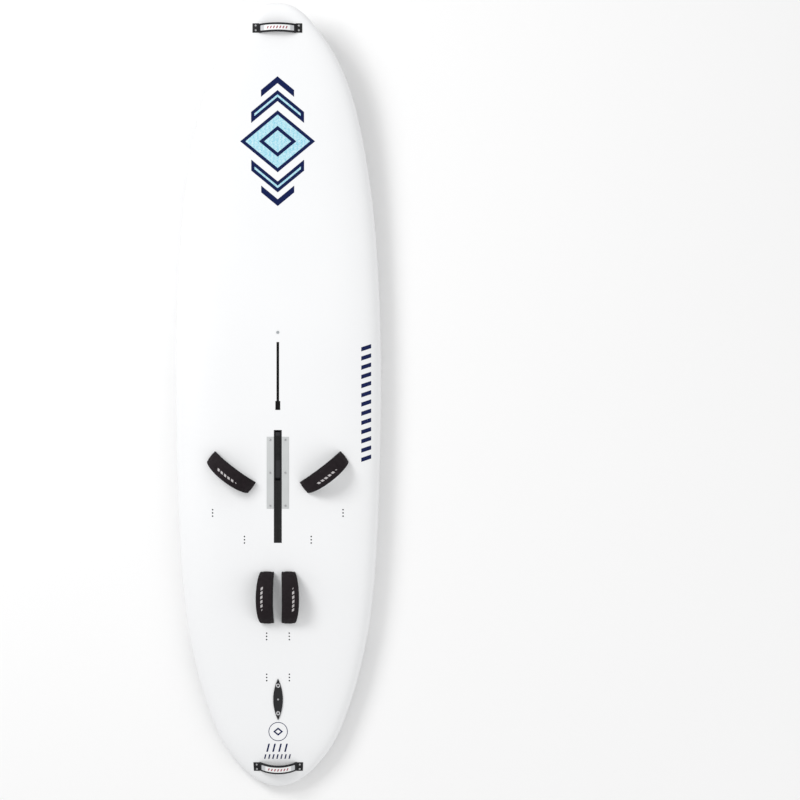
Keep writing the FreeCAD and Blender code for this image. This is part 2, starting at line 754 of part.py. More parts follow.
# Plain frame round the daggerboard slot, flush with the bottom.
FRAME_LENGTH = f"({SLOT_FRONT} - {CASE_BACK} + 2 * sizes.frame_margin)"
FRAME_MIDDLE = f"(({SLOT_FRONT} + {CASE_BACK}) / 2)"
gasket_frame = new_body("bottom_gasket_frame")
place(gasket_frame, "0", FRAME_MIDDLE, "0")
sketch = new_sketch(gasket_frame)
round_slot(sketch, "sizes.frame_width", FRAME_LENGTH)
pad(gasket_frame, sketch, "sizes.frame_height")
sketch = new_sketch(gasket_frame)
rectangle(sketch, CASE_INNER, f"({SLOT_FRONT} - {CASE_BACK})")
pocket(gasket_frame, sketch, "sizes.frame_height", reversed_way=True)
keep(gasket_frame)

# ------------------------------------------------------------ fin box group

FIN = f"({TAIL} + sizes.fin_place)"
FIN_BOX_WIDTH = "(sizes.fin_slot_width + 2 * sizes.fin_box_wall)"
FIN_BOX_LENGTH = "(sizes.fin_slot_length + 2 * sizes.fin_box_wall)"
FIN_BOX_TOP = "(sizes.skin + sizes.fin_slot_depth + sizes.fin_box_wall)"
SLEEVE_RADIUS = "(sizes.fin_bolt_radius + sizes.running_clearance + sizes.fin_sleeve_wall)"
fin_box = new_body("fin_box")
place(fin_box, "0", FIN, "sizes.skin")
sketch = new_sketch(fin_box)
round_slot(sketch, FIN_BOX_WIDTH, FIN_BOX_LENGTH)
pad(fin_box, sketch, f"{FIN_BOX_TOP} - sizes.skin")
sketch = new_sketch(fin_box)
round_slot(sketch, "sizes.fin_slot_width", "sizes.fin_slot_length")
pocket(fin_box, sketch, "sizes.fin_slot_depth", reversed_way=True)
sketch = new_sketch(fin_box)
for side in ("-", ""):
    circle(sketch, "sizes.fin_bolt_radius + 4 * sizes.running_clearance",
           "0", f"{side}sizes.fin_bolt_spacing / 2")
pocket(fin_box, sketch, FIN_BOX_TOP, reversed_way=True)

FIN_BLOCK_WIDTH = f"({FIN_BOX_WIDTH} + 2 * sizes.fin_block_margin)"
FIN_BLOCK_LENGTH = f"({FIN_BOX_LENGTH} + 2 * sizes.fin_block_margin)"
block_cutters = [
    block("fin_block_room", FIN_BOX_WIDTH, FIN_BOX_LENGTH, FIN_BOX_TOP, "0", FIN, "0"),
]
sleeves = []
bolts = []
bolt_spots = []
for name, side in (("rear", "-"), ("front", "+")):
    spot = f"({FIN} {side} sizes.fin_bolt_spacing / 2)"
    seat = f"({tail_deck(spot)} + sizes.fin_bolt_head_height - sizes.plate_recess)"
    sleeve_height = f"({tail_deck(spot)} - sizes.skin - {FIN_BOX_TOP})"
    sleeves.append(cut(
        f"sleeve_{name}",
        cylinder(f"sleeve_blank_{name}", SLEEVE_RADIUS, sleeve_height, "0", spot, FIN_BOX_TOP),
        [cylinder(f"sleeve_bore_{name}", "sizes.fin_bolt_radius + 4 * sizes.running_clearance",
                  sleeve_height, "0", spot, FIN_BOX_TOP)],
    ))
    block_cutters.append(cylinder(f"sleeve_room_{name}", SLEEVE_RADIUS, "sizes.board_thickness",
                                  "0", spot, FIN_BOX_TOP))
    bolt = new_body(f"fin_bolt_{name}")
    place(bolt, "0", spot, seat)
    sketch = new_sketch(bolt)
    circle(sketch, "sizes.fin_bolt_head_radius")
    pad(bolt, sketch, "sizes.fin_bolt_head_height")
    sketch = new_sketch(bolt)
    circle(sketch, "sizes.fin_bolt_radius")
    pad(bolt, sketch, f"{seat} - {FIN_BOX_TOP} + sizes.fin_box_wall + sizes.fin_bolt_engagement",
        reversed_way=True)
    sketch = new_sketch(bolt, lift="sizes.fin_bolt_head_height")
    circle(sketch, "sizes.fin_bolt_head_radius * 0.45")
    pocket(bolt, sketch, "sizes.fin_bolt_head_height * 0.8")
    bolts.append(bolt)
    bolt_spots.append((spot, seat))
fin_box_block_blank = block("fin_block_blank", FIN_BLOCK_WIDTH, FIN_BLOCK_LENGTH,
                            "sizes.board_thickness", "0", FIN, "0")

TILT = "atan(sizes.tail_slope)"
fin_plate_blank = new_body("fin_plate_blank")
place(fin_plate_blank, "0", FIN, f"{tail_deck(FIN)} - sizes.plate_recess")
fin_plate_blank.Placement.Rotation = Rotation(Vector(1, 0, 0), 0)
fin_plate_blank.setExpression("Placement.Rotation.Axis.x", "1")
fin_plate_blank.setExpression("Placement.Rotation.Angle", TILT)
sketch = new_sketch(fin_plate_blank)
lens(sketch, "sizes.fin_plate_width", "sizes.fin_plate_length")
pad(fin_plate_blank, sketch, "sizes.fin_plate_height")
PLATE_BORE = "4 * sizes.fin_plate_height"
fin_plate_holes = [cylinder("fin_plate_screw_hole", "sizes.screw_radius", PLATE_BORE, "0", FIN,
                            f"{tail_deck(FIN)} - {PLATE_BORE} / 2")]
for index, (spot, seat) in enumerate(bolt_spots):
    fin_plate_holes.append(cylinder(
        f"fin_plate_hole_{index}", "sizes.fin_bolt_radius + sizes.fin_seat_gap",
        PLATE_BORE, "0", spot, f"{seat} - {PLATE_BORE} / 2"))
    fin_plate_holes.append(cylinder(
        f"fin_plate_seat_{index}", "sizes.fin_bolt_head_radius + sizes.fin_seat_gap",
        PLATE_BORE, "0", spot, seat))
fin_plate = cut("fin_plate", fin_plate_blank, fin_plate_holes)
keep(fin_box, *bolts, fin_plate, combined("Compound", "fin_bolt_sleeves", sleeves))
doc.recompute()


# ---------------------------------------------------------------- fasteners

def screw(label, head_radius):
    """Pan-head screw with its seat at the origin; copies of it make a group."""
    body = new_body(label)
    sketch = new_sketch(body)
    circle(sketch, head_radius)
    pad(body, sketch, "sizes.screw_head_height")
    sketch = new_sketch(body)
    circle(sketch, "sizes.screw_radius - sizes.running_clearance")
    pad(body, sketch, "sizes.screw_length", reversed_way=True)
    sketch = new_sketch(body, lift="sizes.screw_head_height")
    rectangle(sketch, f"{head_radius} * 1.1", f"{head_radius} * 0.28")
    pocket(body, sketch, "sizes.screw_head_height / 2")
    sketch = new_sketch(body, lift="sizes.screw_head_height")
    rectangle(sketch, f"{head_radius} * 0.28", f"{head_radius} * 1.1")
    pocket(body, sketch, "sizes.screw_head_height / 2")
    head_edge = size("sizes.screw_head_height")
    fillet(body, "sizes.screw_head_height * 0.3", lambda edge: (
        edge.Curve.TypeId == "Part::GeomCircle"
        and abs(edge.CenterOfMass.z - head_edge) < 0.01))
    return body


def copies(shape, placements):
    """Group of separate copies of a shape at the placements."""
    group = []
    for placement in placements:
        copy = shape.copy()
        copy.Placement = placement.multiply(copy.Placement)
        group.append(copy)
    return Part.makeCompound(group)


SEAM_TURN = 30


def screw_bores_at(placements):
    """Bores for screws at the placements, their seams turned off the skin's own edges."""
    depth = size("sizes.screw_length") + 1
    bores = []
    for placement in placements:
        bore = Part.makeCylinder(size("sizes.screw_radius"), depth)
        seam = Rotation(Vector(0, 0, 1), SEAM_TURN)
        bore.Placement = placement.multiply(Placement(Vector(0, 0, -depth), seam))
        bores.append(bore)
    return bores


small_screw = screw("small_screw_pattern", "sizes.screw_head_radius")
strap_screw = screw("strap_screw_pattern", "sizes.strap_screw_head_radius")

plate_top = size(f"{PLATE_FLOOR} + sizes.plate_height")
keep(feature("deck_plate_screws", copies(small_screw.Shape, [
    Placement(Vector(spot.x, spot.y, plate_top), Rotation()) for spot in deck_screw_spots])))
fin_screw_seat = size(
    f"{tail_deck(FIN)} - sizes.plate_recess + sizes.fin_plate_height + sizes.fin_screw_lift")
keep(feature("fin_plate_screw", copies(small_screw.Shape, [
    Placement(Vector(0, size(FIN), fin_screw_seat), Rotation())])))

# -------------------------------------------------------------- foot straps

# Places of the screws at the two ends of each strap, right-hand side. The straps in use
# take the first pair of each list and the free inserts are the second pair.
FRONT_ANCHORS = [
    [(229.6, -232.2), (110.4, -323.2)],
    [(237, -424), (121.3, -521.5)],
]
REAR_ANCHOR_SIDE = 41.2
REAR_ANCHORS_FROM_TAIL = [(769, 619), (551.5, 401.4)]
tail_end = size(TAIL)

insert_spots = []
strap_ends = {}
for sign, side in ((-1, "left"), (1, "right")):
    for pair in FRONT_ANCHORS:
        insert_spots.extend((sign * x, y) for x, y in pair)
    strap_ends[f"front_{side}"] = [(sign * x, y) for x, y in FRONT_ANCHORS[0]]
    for pair in REAR_ANCHORS_FROM_TAIL:
        insert_spots.extend((sign * REAR_ANCHOR_SIDE, tail_end + reach) for reach in pair)
    strap_ends[f"rear_{side}"] = [
        (sign * REAR_ANCHOR_SIDE, tail_end + reach) for reach in REAR_ANCHORS_FROM_TAIL[0]]

insert_blanks = []
insert_holes = []
skin_holes = []
for x, y in insert_spots:
    insert_blanks.append(Part.makeBox(
        size("sizes.insert_width"), size("sizes.insert_length"), size("sizes.board_thickness"),
        Vector(x - size("sizes.insert_width") / 2, y - size("sizes.insert_length") / 2,
               deck_frame(x, y).Base.z - size("sizes.insert_depth"))))
    for step in (-1, 0, 1):
        hole = Part.makeCylinder(
            size("sizes.insert_hole_radius"), size("2 * sizes.insert_depth"),
            Vector(x, y + step * size("sizes.insert_hole_spacing"),
                   deck_frame(x, y).Base.z - size("sizes.insert_depth - sizes.insert_floor")))
        insert_holes.append(hole)
        skin_holes.append(hole)

def arch(label, half_span, rise, thickness, width, gap="0"):
    """Band bent to an arc over a span, on its two ends, its middle line along X."""
    radius = f"((({half_span})^2 + ({rise})^2) / (2 * ({rise})))"
    body = new_body(label)
    sketch = new_sketch(body, "YZ_Plane")
    rectangle(sketch, width, thickness, "0", f"{radius} + ({gap}) + ({thickness}) / 2")
    revolve(body, sketch, "Y_Axis", f"2 * acos(({radius} - ({rise})) / {radius})", both_ways=True)
    return body, radius


def soften(body, radius):
    """Round the long edges of a band."""
    return fillet(body, radius, lambda edge: (
        edge.Curve.TypeId == "Part::GeomCircle" and edge.Length > 20))


STRAP_SPAN = "(sizes.strap_anchor + sizes.strap_foot)"
strap_screw_places = []
washer_shapes = []
washer_length = size("2 * (sizes.strap_foot - sizes.washer_end_gap)")
washer_width = size("sizes.strap_width - 2 * sizes.washer_side_gap")
washer_hole = Part.makeCylinder(size("sizes.screw_radius"), size("2 * sizes.washer_height"))
washer = Part.makeBox(washer_length, washer_width, size("sizes.washer_height"),
                      Vector(-washer_length / 2, -washer_width / 2, 0)).cut(washer_hole)
for name, ends in strap_ends.items():
    first, last = [deck_frame(*end) for end in ends]
    chord = last.Base - first.Base
    middle = (first.Base + last.Base) * 0.5
    up = (first.Rotation.multVec(Vector(0, 0, 1)) + last.Rotation.multVec(Vector(0, 0, 1)))
    turn = Rotation(chord, Vector(), up, "XZY")
    lift = up.normalize() * size("sizes.soft_gap")
    seat = Placement(middle + lift, turn)

    webbing, radius = arch(f"strap_webbing_{name}", STRAP_SPAN, "sizes.strap_rise",
                           "sizes.webbing", "sizes.strap_width")
    webbing_drop = f"(sizes.strap_rise - {radius})"
    sketch = new_sketch(webbing, lift=f"-({webbing_drop})")
    for side in ("-", ""):
        rectangle(sketch, "2 * sizes.strap_foot", "sizes.strap_width", f"{side}sizes.strap_anchor")
    pad(webbing, sketch, "sizes.webbing")
    sketch = new_sketch(webbing, lift=f"-({webbing_drop})")
    for side in ("-", ""):
        circle(sketch, "sizes.screw_radius", f"{side}sizes.strap_anchor")
    pocket(webbing, sketch, "2 * sizes.webbing", reversed_way=True)
    drop = Placement(Vector(0, 0, size(webbing_drop)), Rotation())
    webbing.Placement = seat.multiply(drop)

    cover_body, _ = arch(f"strap_cover_{name}", STRAP_SPAN, "sizes.strap_rise", "sizes.cover",
                         "sizes.cover_width", "sizes.webbing + sizes.soft_gap")
    soften(cover_body, "sizes.cover * 0.4")
    cover_body.Placement = seat.multiply(drop)
    keep(webbing, cover_body)

    for side in (-1, 1):
        tab_top = seat.multiply(Placement(
            Vector(side * size("sizes.strap_anchor"), 0, size("sizes.webbing")), Rotation()))
        washer_copy = washer.copy()
        washer_copy.Placement = tab_top
        washer_shapes.append(washer_copy)
        strap_screw_places.append(tab_top.multiply(Placement(
            Vector(0, 0, size("sizes.washer_height")), Rotation())))
strap_bores = screw_bores_at(strap_screw_places)
inserts = [blank.common(core_blank).cut(insert_holes + strap_bores) for blank in insert_blanks]
keep(feature("strap_inserts", Part.makeCompound(inserts)))
keep(feature("strap_washers", Part.makeCompound(washer_shapes)))
keep(feature("strap_screws", copies(strap_screw.Shape, strap_screw_places)))

# ------------------------------------------------------- nose and tail handles

handle_screw_places = []
plug_places = []
end_plate_holes = Part.makeCompound([
    Part.makeCylinder(size("sizes.screw_radius"), size("4 * sizes.end_plate_height"),
                      Vector(0, step * size("sizes.handle_width") / 4,
                             -size("sizes.end_plate_height")))
    for step in (-1, 1)])
end_plate = Part.makeBox(
    size("sizes.end_plate_length"), size("sizes.handle_width"), size("sizes.end_plate_height"),
    Vector(-size("sizes.end_plate_length") / 2, -size("sizes.handle_width") / 2, 0),
).cut(end_plate_holes)
for name, middle_place in (
    ("nose", size(f"{NOSE} - sizes.nose_handle_place")),
    ("tail", size(f"{TAIL} + sizes.tail_handle_place")),
):
    reach = size("sizes.handle_half_span + sizes.end_plate_length / 2")
    plates = []
    for side in (-1, 1):
        frame = deck_frame(side * reach, middle_place)
        copy = end_plate.copy()
        copy.Placement = frame
        plates.append(copy)
        for step in (-1, 1):
            aside = step * size("sizes.handle_width") / 4
            above = size("sizes.end_plate_height")
            plug_places.append(frame.multiply(Placement(Vector(0, aside, 0), Rotation())))
            handle_screw_places.append(
                frame.multiply(Placement(Vector(0, aside, above), Rotation())))
    keep(feature(f"{name}_handle_end_plates", Part.makeCompound(plates)))

    foot = deck_frame(size("sizes.handle_half_span"), middle_place)
    crown = deck_frame(0, middle_place)
    pitch = math.degrees(math.atan2(
        deck_frame(0, middle_place + 10).Base.z - deck_frame(0, middle_place - 10).Base.z, 20))
    seat = Placement(
        Vector(0, middle_place, foot.Base.z + size("sizes.end_plate_height")),
        Rotation(Vector(1, 0, 0), pitch))
    rise = f"(sizes.handle_rise + {crown.Base.z - foot.Base.z:.3f})"
    sleeve, radius = arch(f"{name}_handle_sleeve", "sizes.handle_half_span", rise,
                          "sizes.sleeve_thickness", "sizes.handle_width")
    drop = Placement(Vector(0, 0, size(f"{rise} - {radius}")), Rotation())
    sleeve.Placement = seat.multiply(drop)
    label, _ = arch(f"{name}_handle_panel", "sizes.handle_half_span", rise,
                    "sizes.label_thickness", "sizes.label_width",
                    "sizes.sleeve_thickness + sizes.running_clearance")
    label.Tip.setExpression(
        "Angle", f"2 * asin(sizes.label_length / 2 / ({radius} + sizes.sleeve_thickness))")
    label.Placement = seat.multiply(drop)
    keep(sleeve, label)
keep(feature("handle_screws", copies(small_screw.Shape, handle_screw_places)))


def plug(height_above):
    """Square plug of the handle screws, its top at the origin or that far above it."""
    width = size("sizes.plug_width")
    depth = size("sizes.plug_depth")
    return Part.makeBox(width, width, depth + height_above, Vector(-width / 2, -width / 2, -depth))


plug_bore = Part.makeCylinder(
    size("sizes.screw_radius"), size("sizes.plug_depth"), Vector(0, 0, -size("sizes.plug_depth")))
keep(feature("handle_plugs", copies(plug(0).cut(plug_bore), plug_places)))
plug_rooms = copies(plug(size("sizes.skin")), plug_places).Solids
doc.recompute()

# ------------------------------------------------------- skins and foam core


def prism(front, back, width, low, high, middle="0"):
    """Plain cutting block between two places along the board and two heights."""
    return Part.makeBox(
        size(width), size(f"({front}) - ({back})"), size(f"({high}) - ({low})"),
        Vector(size(f"({middle}) - ({width}) / 2"), size(back), size(low)))


def hole(radius, x, y, low, high):
    return Part.makeCylinder(size(radius), size(f"({high}) - ({low})"),
                             Vector(size(x), size(y), size(low)))


ABOVE = "(sizes.board_thickness + sizes.nose_lift)"
TRACK_BACK = f"(sizes.track_front - {TRACK_LENGTH})"
deck_cutters = skin_holes + [
    prism(f"({CASE_FRONT} + sizes.case_wall)", f"({DECK_SLOT_BACK} - sizes.case_wall)",
          CASE_OUTER, CASE_ROOF, ABOVE),
    prism("sizes.track_front", TRACK_BACK, "sizes.track_slot_width", CASE_ROOF, ABOVE),
    prism(f"{TRACK_BACK} + sizes.port_length", TRACK_BACK, "sizes.port_width", CASE_ROOF, ABOVE),
    hole("sizes.vent_housing_radius", "0", "sizes.vent_place", CASE_ROOF, ABOVE),
    hole("sizes.screw_radius", "0", FIN, "sizes.skin", ABOVE),
]
for sign in (-1, 1):
    deck_cutters.append(prism("sizes.plate_front", PLATE_BACK, "sizes.plate_width",
                              PLATE_FLOOR, ABOVE, f"{sign} * {RAIL_MIDDLE}"))
for spot in deck_screw_spots:
    deck_cutters.append(hole("sizes.screw_radius", str(spot.x), str(spot.y), CASE_ROOF, ABOVE))
for spot, _ in bolt_spots:
    deck_cutters.append(hole(SLEEVE_RADIUS, "0", spot, FIN_BOX_TOP, ABOVE))
deck_cutters.append(fin_plate_blank.Shape)
deck_cutters.extend(plug_rooms)

deck_skin = deck_blank.cut(deck_cutters)

# The two cut-aways at the tail: the bottom steps up and the skin follows the step.
cutaway_corners = [(0.90, 547), (0.79, 533), (0.627, 344), (0.592, 321), (0.457, 321), (0.224, 40),
                   (0.224, -5), (1.1, -5), (1.1, 547)]
cutaways = []
cutaway_rooms = []
for sign in (-1, 1):
    corners = [Vector(sign * share * size("sizes.board_width") / 2, tail_end + reach, -1)
               for share, reach in cutaway_corners]
    wire = Part.makePolygon(corners + corners[:1])
    height = size("sizes.cutaway_height")
    skin = size("sizes.skin")
    cutaways.append(Part.Face(wire).extrude(Vector(0, 0, height + 1)))
    wider = Part.Face(wire.makeOffset2D(skin))
    cutaway_rooms.append(wider.extrude(Vector(0, 0, height + skin + 1)))
bottom_blank = bottom_blank.fuse(core_blank.common(Part.makeCompound(cutaway_rooms)))
bottom_blank = bottom_blank.cut(cutaways)
bottom_cutters = [
    prism(f"({CASE_FRONT} + sizes.case_wall)", f"({CASE_BACK} - sizes.case_wall)",
          CASE_OUTER, CASE_FLOOR, PIVOT_HEIGHT),
    prism(f"({SLOT_FRONT} + sizes.case_wall)", f"({CASE_BACK} - sizes.case_wall)",
          "2 * sizes.lip_width + sizes.blade_thickness + 2 * sizes.moving_clearance",
          "sizes.frame_height", CASE_FLOOR),
]
fin_mouth = new_body("fin_mouth")
place(fin_mouth, "0", FIN, "-sizes.skin")
sketch = new_sketch(fin_mouth)
round_slot(sketch, "sizes.fin_slot_width", "sizes.fin_slot_length")
pad(fin_mouth, sketch, "3 * sizes.skin")
frame_room = new_body("frame_room")
place(frame_room, "0", FRAME_MIDDLE, "-sizes.skin")
sketch = new_sketch(frame_room)
round_slot(sketch, "sizes.frame_width", FRAME_LENGTH)
pad(frame_room, sketch, "sizes.skin + sizes.frame_height")
bottom_cutters.append(fin_mouth.Shape)
bottom_cutters.append(frame_room.Shape)
bottom_skin = bottom_blank.cut(bottom_cutters)

core_cutters = cutaway_rooms + insert_blanks + plug_rooms + strap_bores + [
    prism(f"({CASE_FRONT} + sizes.case_wall)", f"({CASE_BACK} - sizes.case_wall)",
          CASE_OUTER, "0", f"{CASE_ROOF} + sizes.case_wall"),
    prism(f"({CASE_FRONT} + sizes.case_wall)", f"({DECK_SLOT_BACK} - sizes.case_wall)",
          CASE_OUTER, CASE_ROOF, ABOVE),
    prism(f"{TRACK_MIDDLE} + {TRACK_BLOCK[1]} / 2", f"{TRACK_MIDDLE} - {TRACK_BLOCK[1]} / 2",
          TRACK_BLOCK[0], f"{UNDER_SKIN} - {TRACK_BLOCK[2]}", ABOVE),
    hole("sizes.vent_housing_radius", "0", "sizes.vent_place",
         f"{DECK} - sizes.vent_housing_depth", ABOVE),
    fin_box_block_blank.Shape,
]
for sign in (-1, 1):
    core_cutters.append(prism("sizes.plate_front", PLATE_BACK, "sizes.plate_width",
                              f"{UNDER_SKIN} - sizes.rail_depth", ABOVE,
                              f"{sign} * {RAIL_MIDDLE}"))
fin_box_block = core_blank.common(fin_box_block_blank.Shape)
fin_box_block = fin_box_block.cut([cutter.Shape for cutter in block_cutters] + cutaway_rooms)
fin_box_block = fin_box_block.cut([hole("sizes.screw_radius", "0", FIN, "sizes.skin", ABOVE)])
foam_core = core_blank.cut(core_cutters)
keep(
    feature("deck_skin", deck_skin),
    feature("bottom_skin", bottom_skin),
    feature("foam_core", foam_core),
    feature("fin_box_block", fin_box_block),
)
doc.recompute()

# ------------------------------------------------------------------- output

for thing in doc.Objects:
    if "Invalid" in thing.State or "Error" in thing.State:
        raise RuntimeError(f"{thing.Label} has failed: {thing.State}")
os.makedirs("parts", exist_ok=True)
for part in parts:
    shape = part.Shape
    if shape.isNull() or not shape.isValid():
        raise RuntimeError(f"{part.Label} has no valid shape")
    shape.exportStep(f"parts/{part.Label}.step")
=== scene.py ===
import math

import bpy
from mathutils import Matrix, Vector


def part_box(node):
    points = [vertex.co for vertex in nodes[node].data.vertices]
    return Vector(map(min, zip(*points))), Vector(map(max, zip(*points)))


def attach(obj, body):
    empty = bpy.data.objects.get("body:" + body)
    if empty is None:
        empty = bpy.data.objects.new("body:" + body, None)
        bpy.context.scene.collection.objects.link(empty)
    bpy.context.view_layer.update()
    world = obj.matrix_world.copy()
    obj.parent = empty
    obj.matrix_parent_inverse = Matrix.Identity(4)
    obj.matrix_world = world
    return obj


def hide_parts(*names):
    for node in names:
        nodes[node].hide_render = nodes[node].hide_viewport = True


# Windsurf board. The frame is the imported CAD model: X to starboard, Y to the nose, Z up.
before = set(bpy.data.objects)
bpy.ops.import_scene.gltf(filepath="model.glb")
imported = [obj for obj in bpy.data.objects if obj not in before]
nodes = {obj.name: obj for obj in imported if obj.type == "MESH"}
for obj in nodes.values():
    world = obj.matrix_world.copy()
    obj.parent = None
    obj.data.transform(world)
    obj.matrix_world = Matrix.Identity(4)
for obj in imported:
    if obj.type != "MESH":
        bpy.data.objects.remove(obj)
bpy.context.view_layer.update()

# ---------------------------------------------------------------- hull shell
# Two moulded halves of glass and epoxy laminate, joined at the rail and sprayed white.
# The deck has a fine non-skid grain and the bottom is smooth. The two recessed cut-aways at
# the tail are painted light grey: painted shade of the recess.

MM = 0.001
LAMINATE_WHITE = (0.90, 0.905, 0.91)
LAMINATE_SHADE = (0.865, 0.872, 0.885)
CUTAWAY_PAINTED_SHADE = (0.74, 0.75, 0.76)
NONSKID_PER_METRE = 1500
NONSKID_DEPTH = 0.12 * MM
# Inner edge of a cut-away: place along the board, and how far out it lies there.
CUTAWAY_EDGE = [
    (-1.425, 0.084), (-1.385, 0.084), (-1.1045, 0.1714), (-1.1035, 0.222),
    (-1.081, 0.235), (-0.892, 0.296), (-0.8785, 0.3375), (-0.8775, 1.0),
]


def new_finish(name, colour, roughness, **constants):
    """A finish with its constants on the shader's own sockets."""
    finish = bpy.data.materials.new(name)
    finish.use_nodes = True
    shader = finish.node_tree.nodes["Principled BSDF"]
    shader.inputs["Base Color"].default_value = (*colour, 1)
    shader.inputs["Roughness"].default_value = roughness
    for socket, value in constants.items():
        shader.inputs[socket.replace("_", " ")].default_value = value
    return finish


def node(finish, kind, inputs=(), **settings):
    """Add a node; an input is a constant or another node's output."""
    made = finish.node_tree.nodes.new(f"ShaderNode{kind}")
    for setting, value in settings.items():
        setattr(made, setting, value)
    for socket, value in dict(inputs).items():
        if isinstance(value, bpy.types.NodeSocket):
            finish.node_tree.links.new(value, made.inputs[socket])
        else:
            made.inputs[socket].default_value = value
    return made


def to_shader(finish, socket, output):
    shader = finish.node_tree.nodes["Principled BSDF"]
    finish.node_tree.links.new(output, shader.inputs[socket])


def place_in(finish):
    """The piece's own coordinates, which are the board's."""
    return node(finish, "TexCoord").outputs["Object"]


def math_node(finish, operation, first, second=0.0):
    return node(finish, "Math", {0: first, 1: second}, operation=operation).outputs[0]


def cloudy(finish, per_metre, light, dark, detail=3.0):
    """Colour that drifts between two tones."""
    noise = node(finish, "TexNoise", {"Vector": place_in(finish), "Scale": per_metre,
                                      "Detail": detail})
    mix = node(finish, "Mix", {0: noise.outputs["Fac"], 6: (*dark, 1), 7: (*light, 1)},
               data_type="RGBA")
    to_shader(finish, "Base Color", mix.outputs[2])
    return mix


def patchy_gloss(finish, per_metre, low, high):
    """Roughness that varies from place to place, as handled surfaces do."""
    noise = node(finish, "TexNoise", {"Vector": place_in(finish), "Scale": per_metre,
                                      "Detail": 4.0})
    spread = node(finish, "MapRange", {0: noise.outputs["Fac"], 1: 0.3, 2: 0.7,
                                       3: low, 4: high})
    to_shader(finish, "Roughness", spread.outputs[0])


def relief(finish, height, depth, strength=0.6):
    """Bump from a height pattern."""
    bump = node(finish, "Bump", {"Height": height, "Distance": depth, "Strength": strength})
    to_shader(finish, "Normal", bump.outputs[0])


def wear(node_name, finish):
    """Give a carried-over CAD node its finish."""
    carried = nodes[node_name]
    if not carried.material_slots:
        carried.data.materials.append(finish)
    for material_slot in carried.material_slots:
        material_slot.material = finish


deck_laminate = new_finish("deck_laminate", LAMINATE_WHITE, 0.42, Coat_Weight=0.15,
                           Coat_Roughness=0.3)
cloudy(deck_laminate, 2.2, LAMINATE_WHITE, LAMINATE_SHADE)
patchy_gloss(deck_laminate, 5, 0.38, 0.5)
grain = node(deck_laminate, "TexNoise", {"Vector": place_in(deck_laminate),
                                         "Scale": NONSKID_PER_METRE, "Detail": 2.0})
relief(deck_laminate, grain.outputs["Fac"], NONSKID_DEPTH, 0.5)
wear("deck_skin", deck_laminate)

bottom_laminate = new_finish("bottom_laminate", LAMINATE_WHITE, 0.28, Coat_Weight=0.3,
                             Coat_Roughness=0.15)
across, along, _ = node(bottom_laminate, "SeparateXYZ",
                        {0: place_in(bottom_laminate)}).outputs
share_along = node(bottom_laminate, "MapRange", {0: along, 1: CUTAWAY_EDGE[0][0],
                                                 2: CUTAWAY_EDGE[-1][0]}).outputs[0]
edge_ramp = node(bottom_laminate, "ValToRGB", {0: share_along})
reach_along = CUTAWAY_EDGE[-1][0] - CUTAWAY_EDGE[0][0]
while len(edge_ramp.color_ramp.elements) < len(CUTAWAY_EDGE):
    edge_ramp.color_ramp.elements.new(0.5)
for element, (place, out) in zip(edge_ramp.color_ramp.elements, CUTAWAY_EDGE):
    element.position = (place - CUTAWAY_EDGE[0][0]) / reach_along
    element.color = (out, out, out, 1)
# Outside this edge the bottom is painted light grey: painted shade on the roof of each
# recessed cut-away.
inside = math_node(bottom_laminate, "GREATER_THAN",
                   math_node(bottom_laminate, "ABSOLUTE", across), edge_ramp.outputs[0])
white_mix = cloudy(bottom_laminate, 2.2, LAMINATE_WHITE, LAMINATE_SHADE)
bottom_white_and_shade = node(bottom_laminate, "Mix", {0: inside, 6: white_mix.outputs[2],
                                           7: (*CUTAWAY_PAINTED_SHADE, 1)}, data_type="RGBA")
to_shader(bottom_laminate, "Base Color", bottom_white_and_shade.outputs[2])
patchy_gloss(bottom_laminate, 6, 0.24, 0.36)
orange_peel = node(bottom_laminate, "TexNoise", {"Vector": place_in(bottom_laminate),
                                                 "Scale": 160.0, "Detail": 2.0})
relief(bottom_laminate, orange_peel.outputs["Fac"], 0.1 * MM, 0.25)
wear("bottom_skin", bottom_laminate)

# ---------------------------------------------------------- foam inside the hull
# A core of moulded polystyrene beads fills the shell, with blocks of denser foam glued in
# round the mast track and the fin box, which take the screws and the loads.

BEAD_PER_METRE = 320
bead_foam = new_finish("bead_foam", (0.93, 0.93, 0.91), 0.75)
cloudy(bead_foam, 30, (0.95, 0.95, 0.93), (0.88, 0.88, 0.86))
beads = node(bead_foam, "TexVoronoi", {"Vector": place_in(bead_foam),
                                       "Scale": float(BEAD_PER_METRE)})
relief(bead_foam, beads.outputs["Distance"], 0.6 * MM)
wear("foam_core", bead_foam)

block_foam = new_finish("block_foam", (0.72, 0.66, 0.46), 0.8)
cloudy(block_foam, 60, (0.76, 0.70, 0.50), (0.66, 0.60, 0.42))
cells = node(block_foam, "TexNoise", {"Vector": place_in(block_foam), "Scale": 1400.0})
relief(block_foam, cells.outputs["Fac"], 0.3 * MM)
for name in ("mast_track_block", "fin_box_block"):
    wear(name, block_foam)

# ------------------------------------------------------------- moulded fittings
# Boxes, plates and rails are injection-moulded nylon: black, white or light grey, with a
# fine spark-eroded grain and softly rounded edges. They are glued in or screwed down.

BLACK = (0.012, 0.012, 0.013)
PLATE_GREY = (0.60, 0.615, 0.615)


def moulded(name, colour, deeper, roughness, grain_depth=0.05):
    """Moulded plastic with a fine grain and slightly uneven gloss."""
    finish = new_finish(name, colour, roughness, Specular_IOR_Level=0.3)
    cloudy(finish, 25, colour, deeper)
    patchy_gloss(finish, 90, roughness - 0.06, roughness + 0.1)
    spark = node(finish, "TexNoise", {"Vector": place_in(finish), "Scale": 2200.0,
                                      "Detail": 2.0})
    relief(finish, spark.outputs["Fac"], grain_depth * MM, 0.5)
    return finish


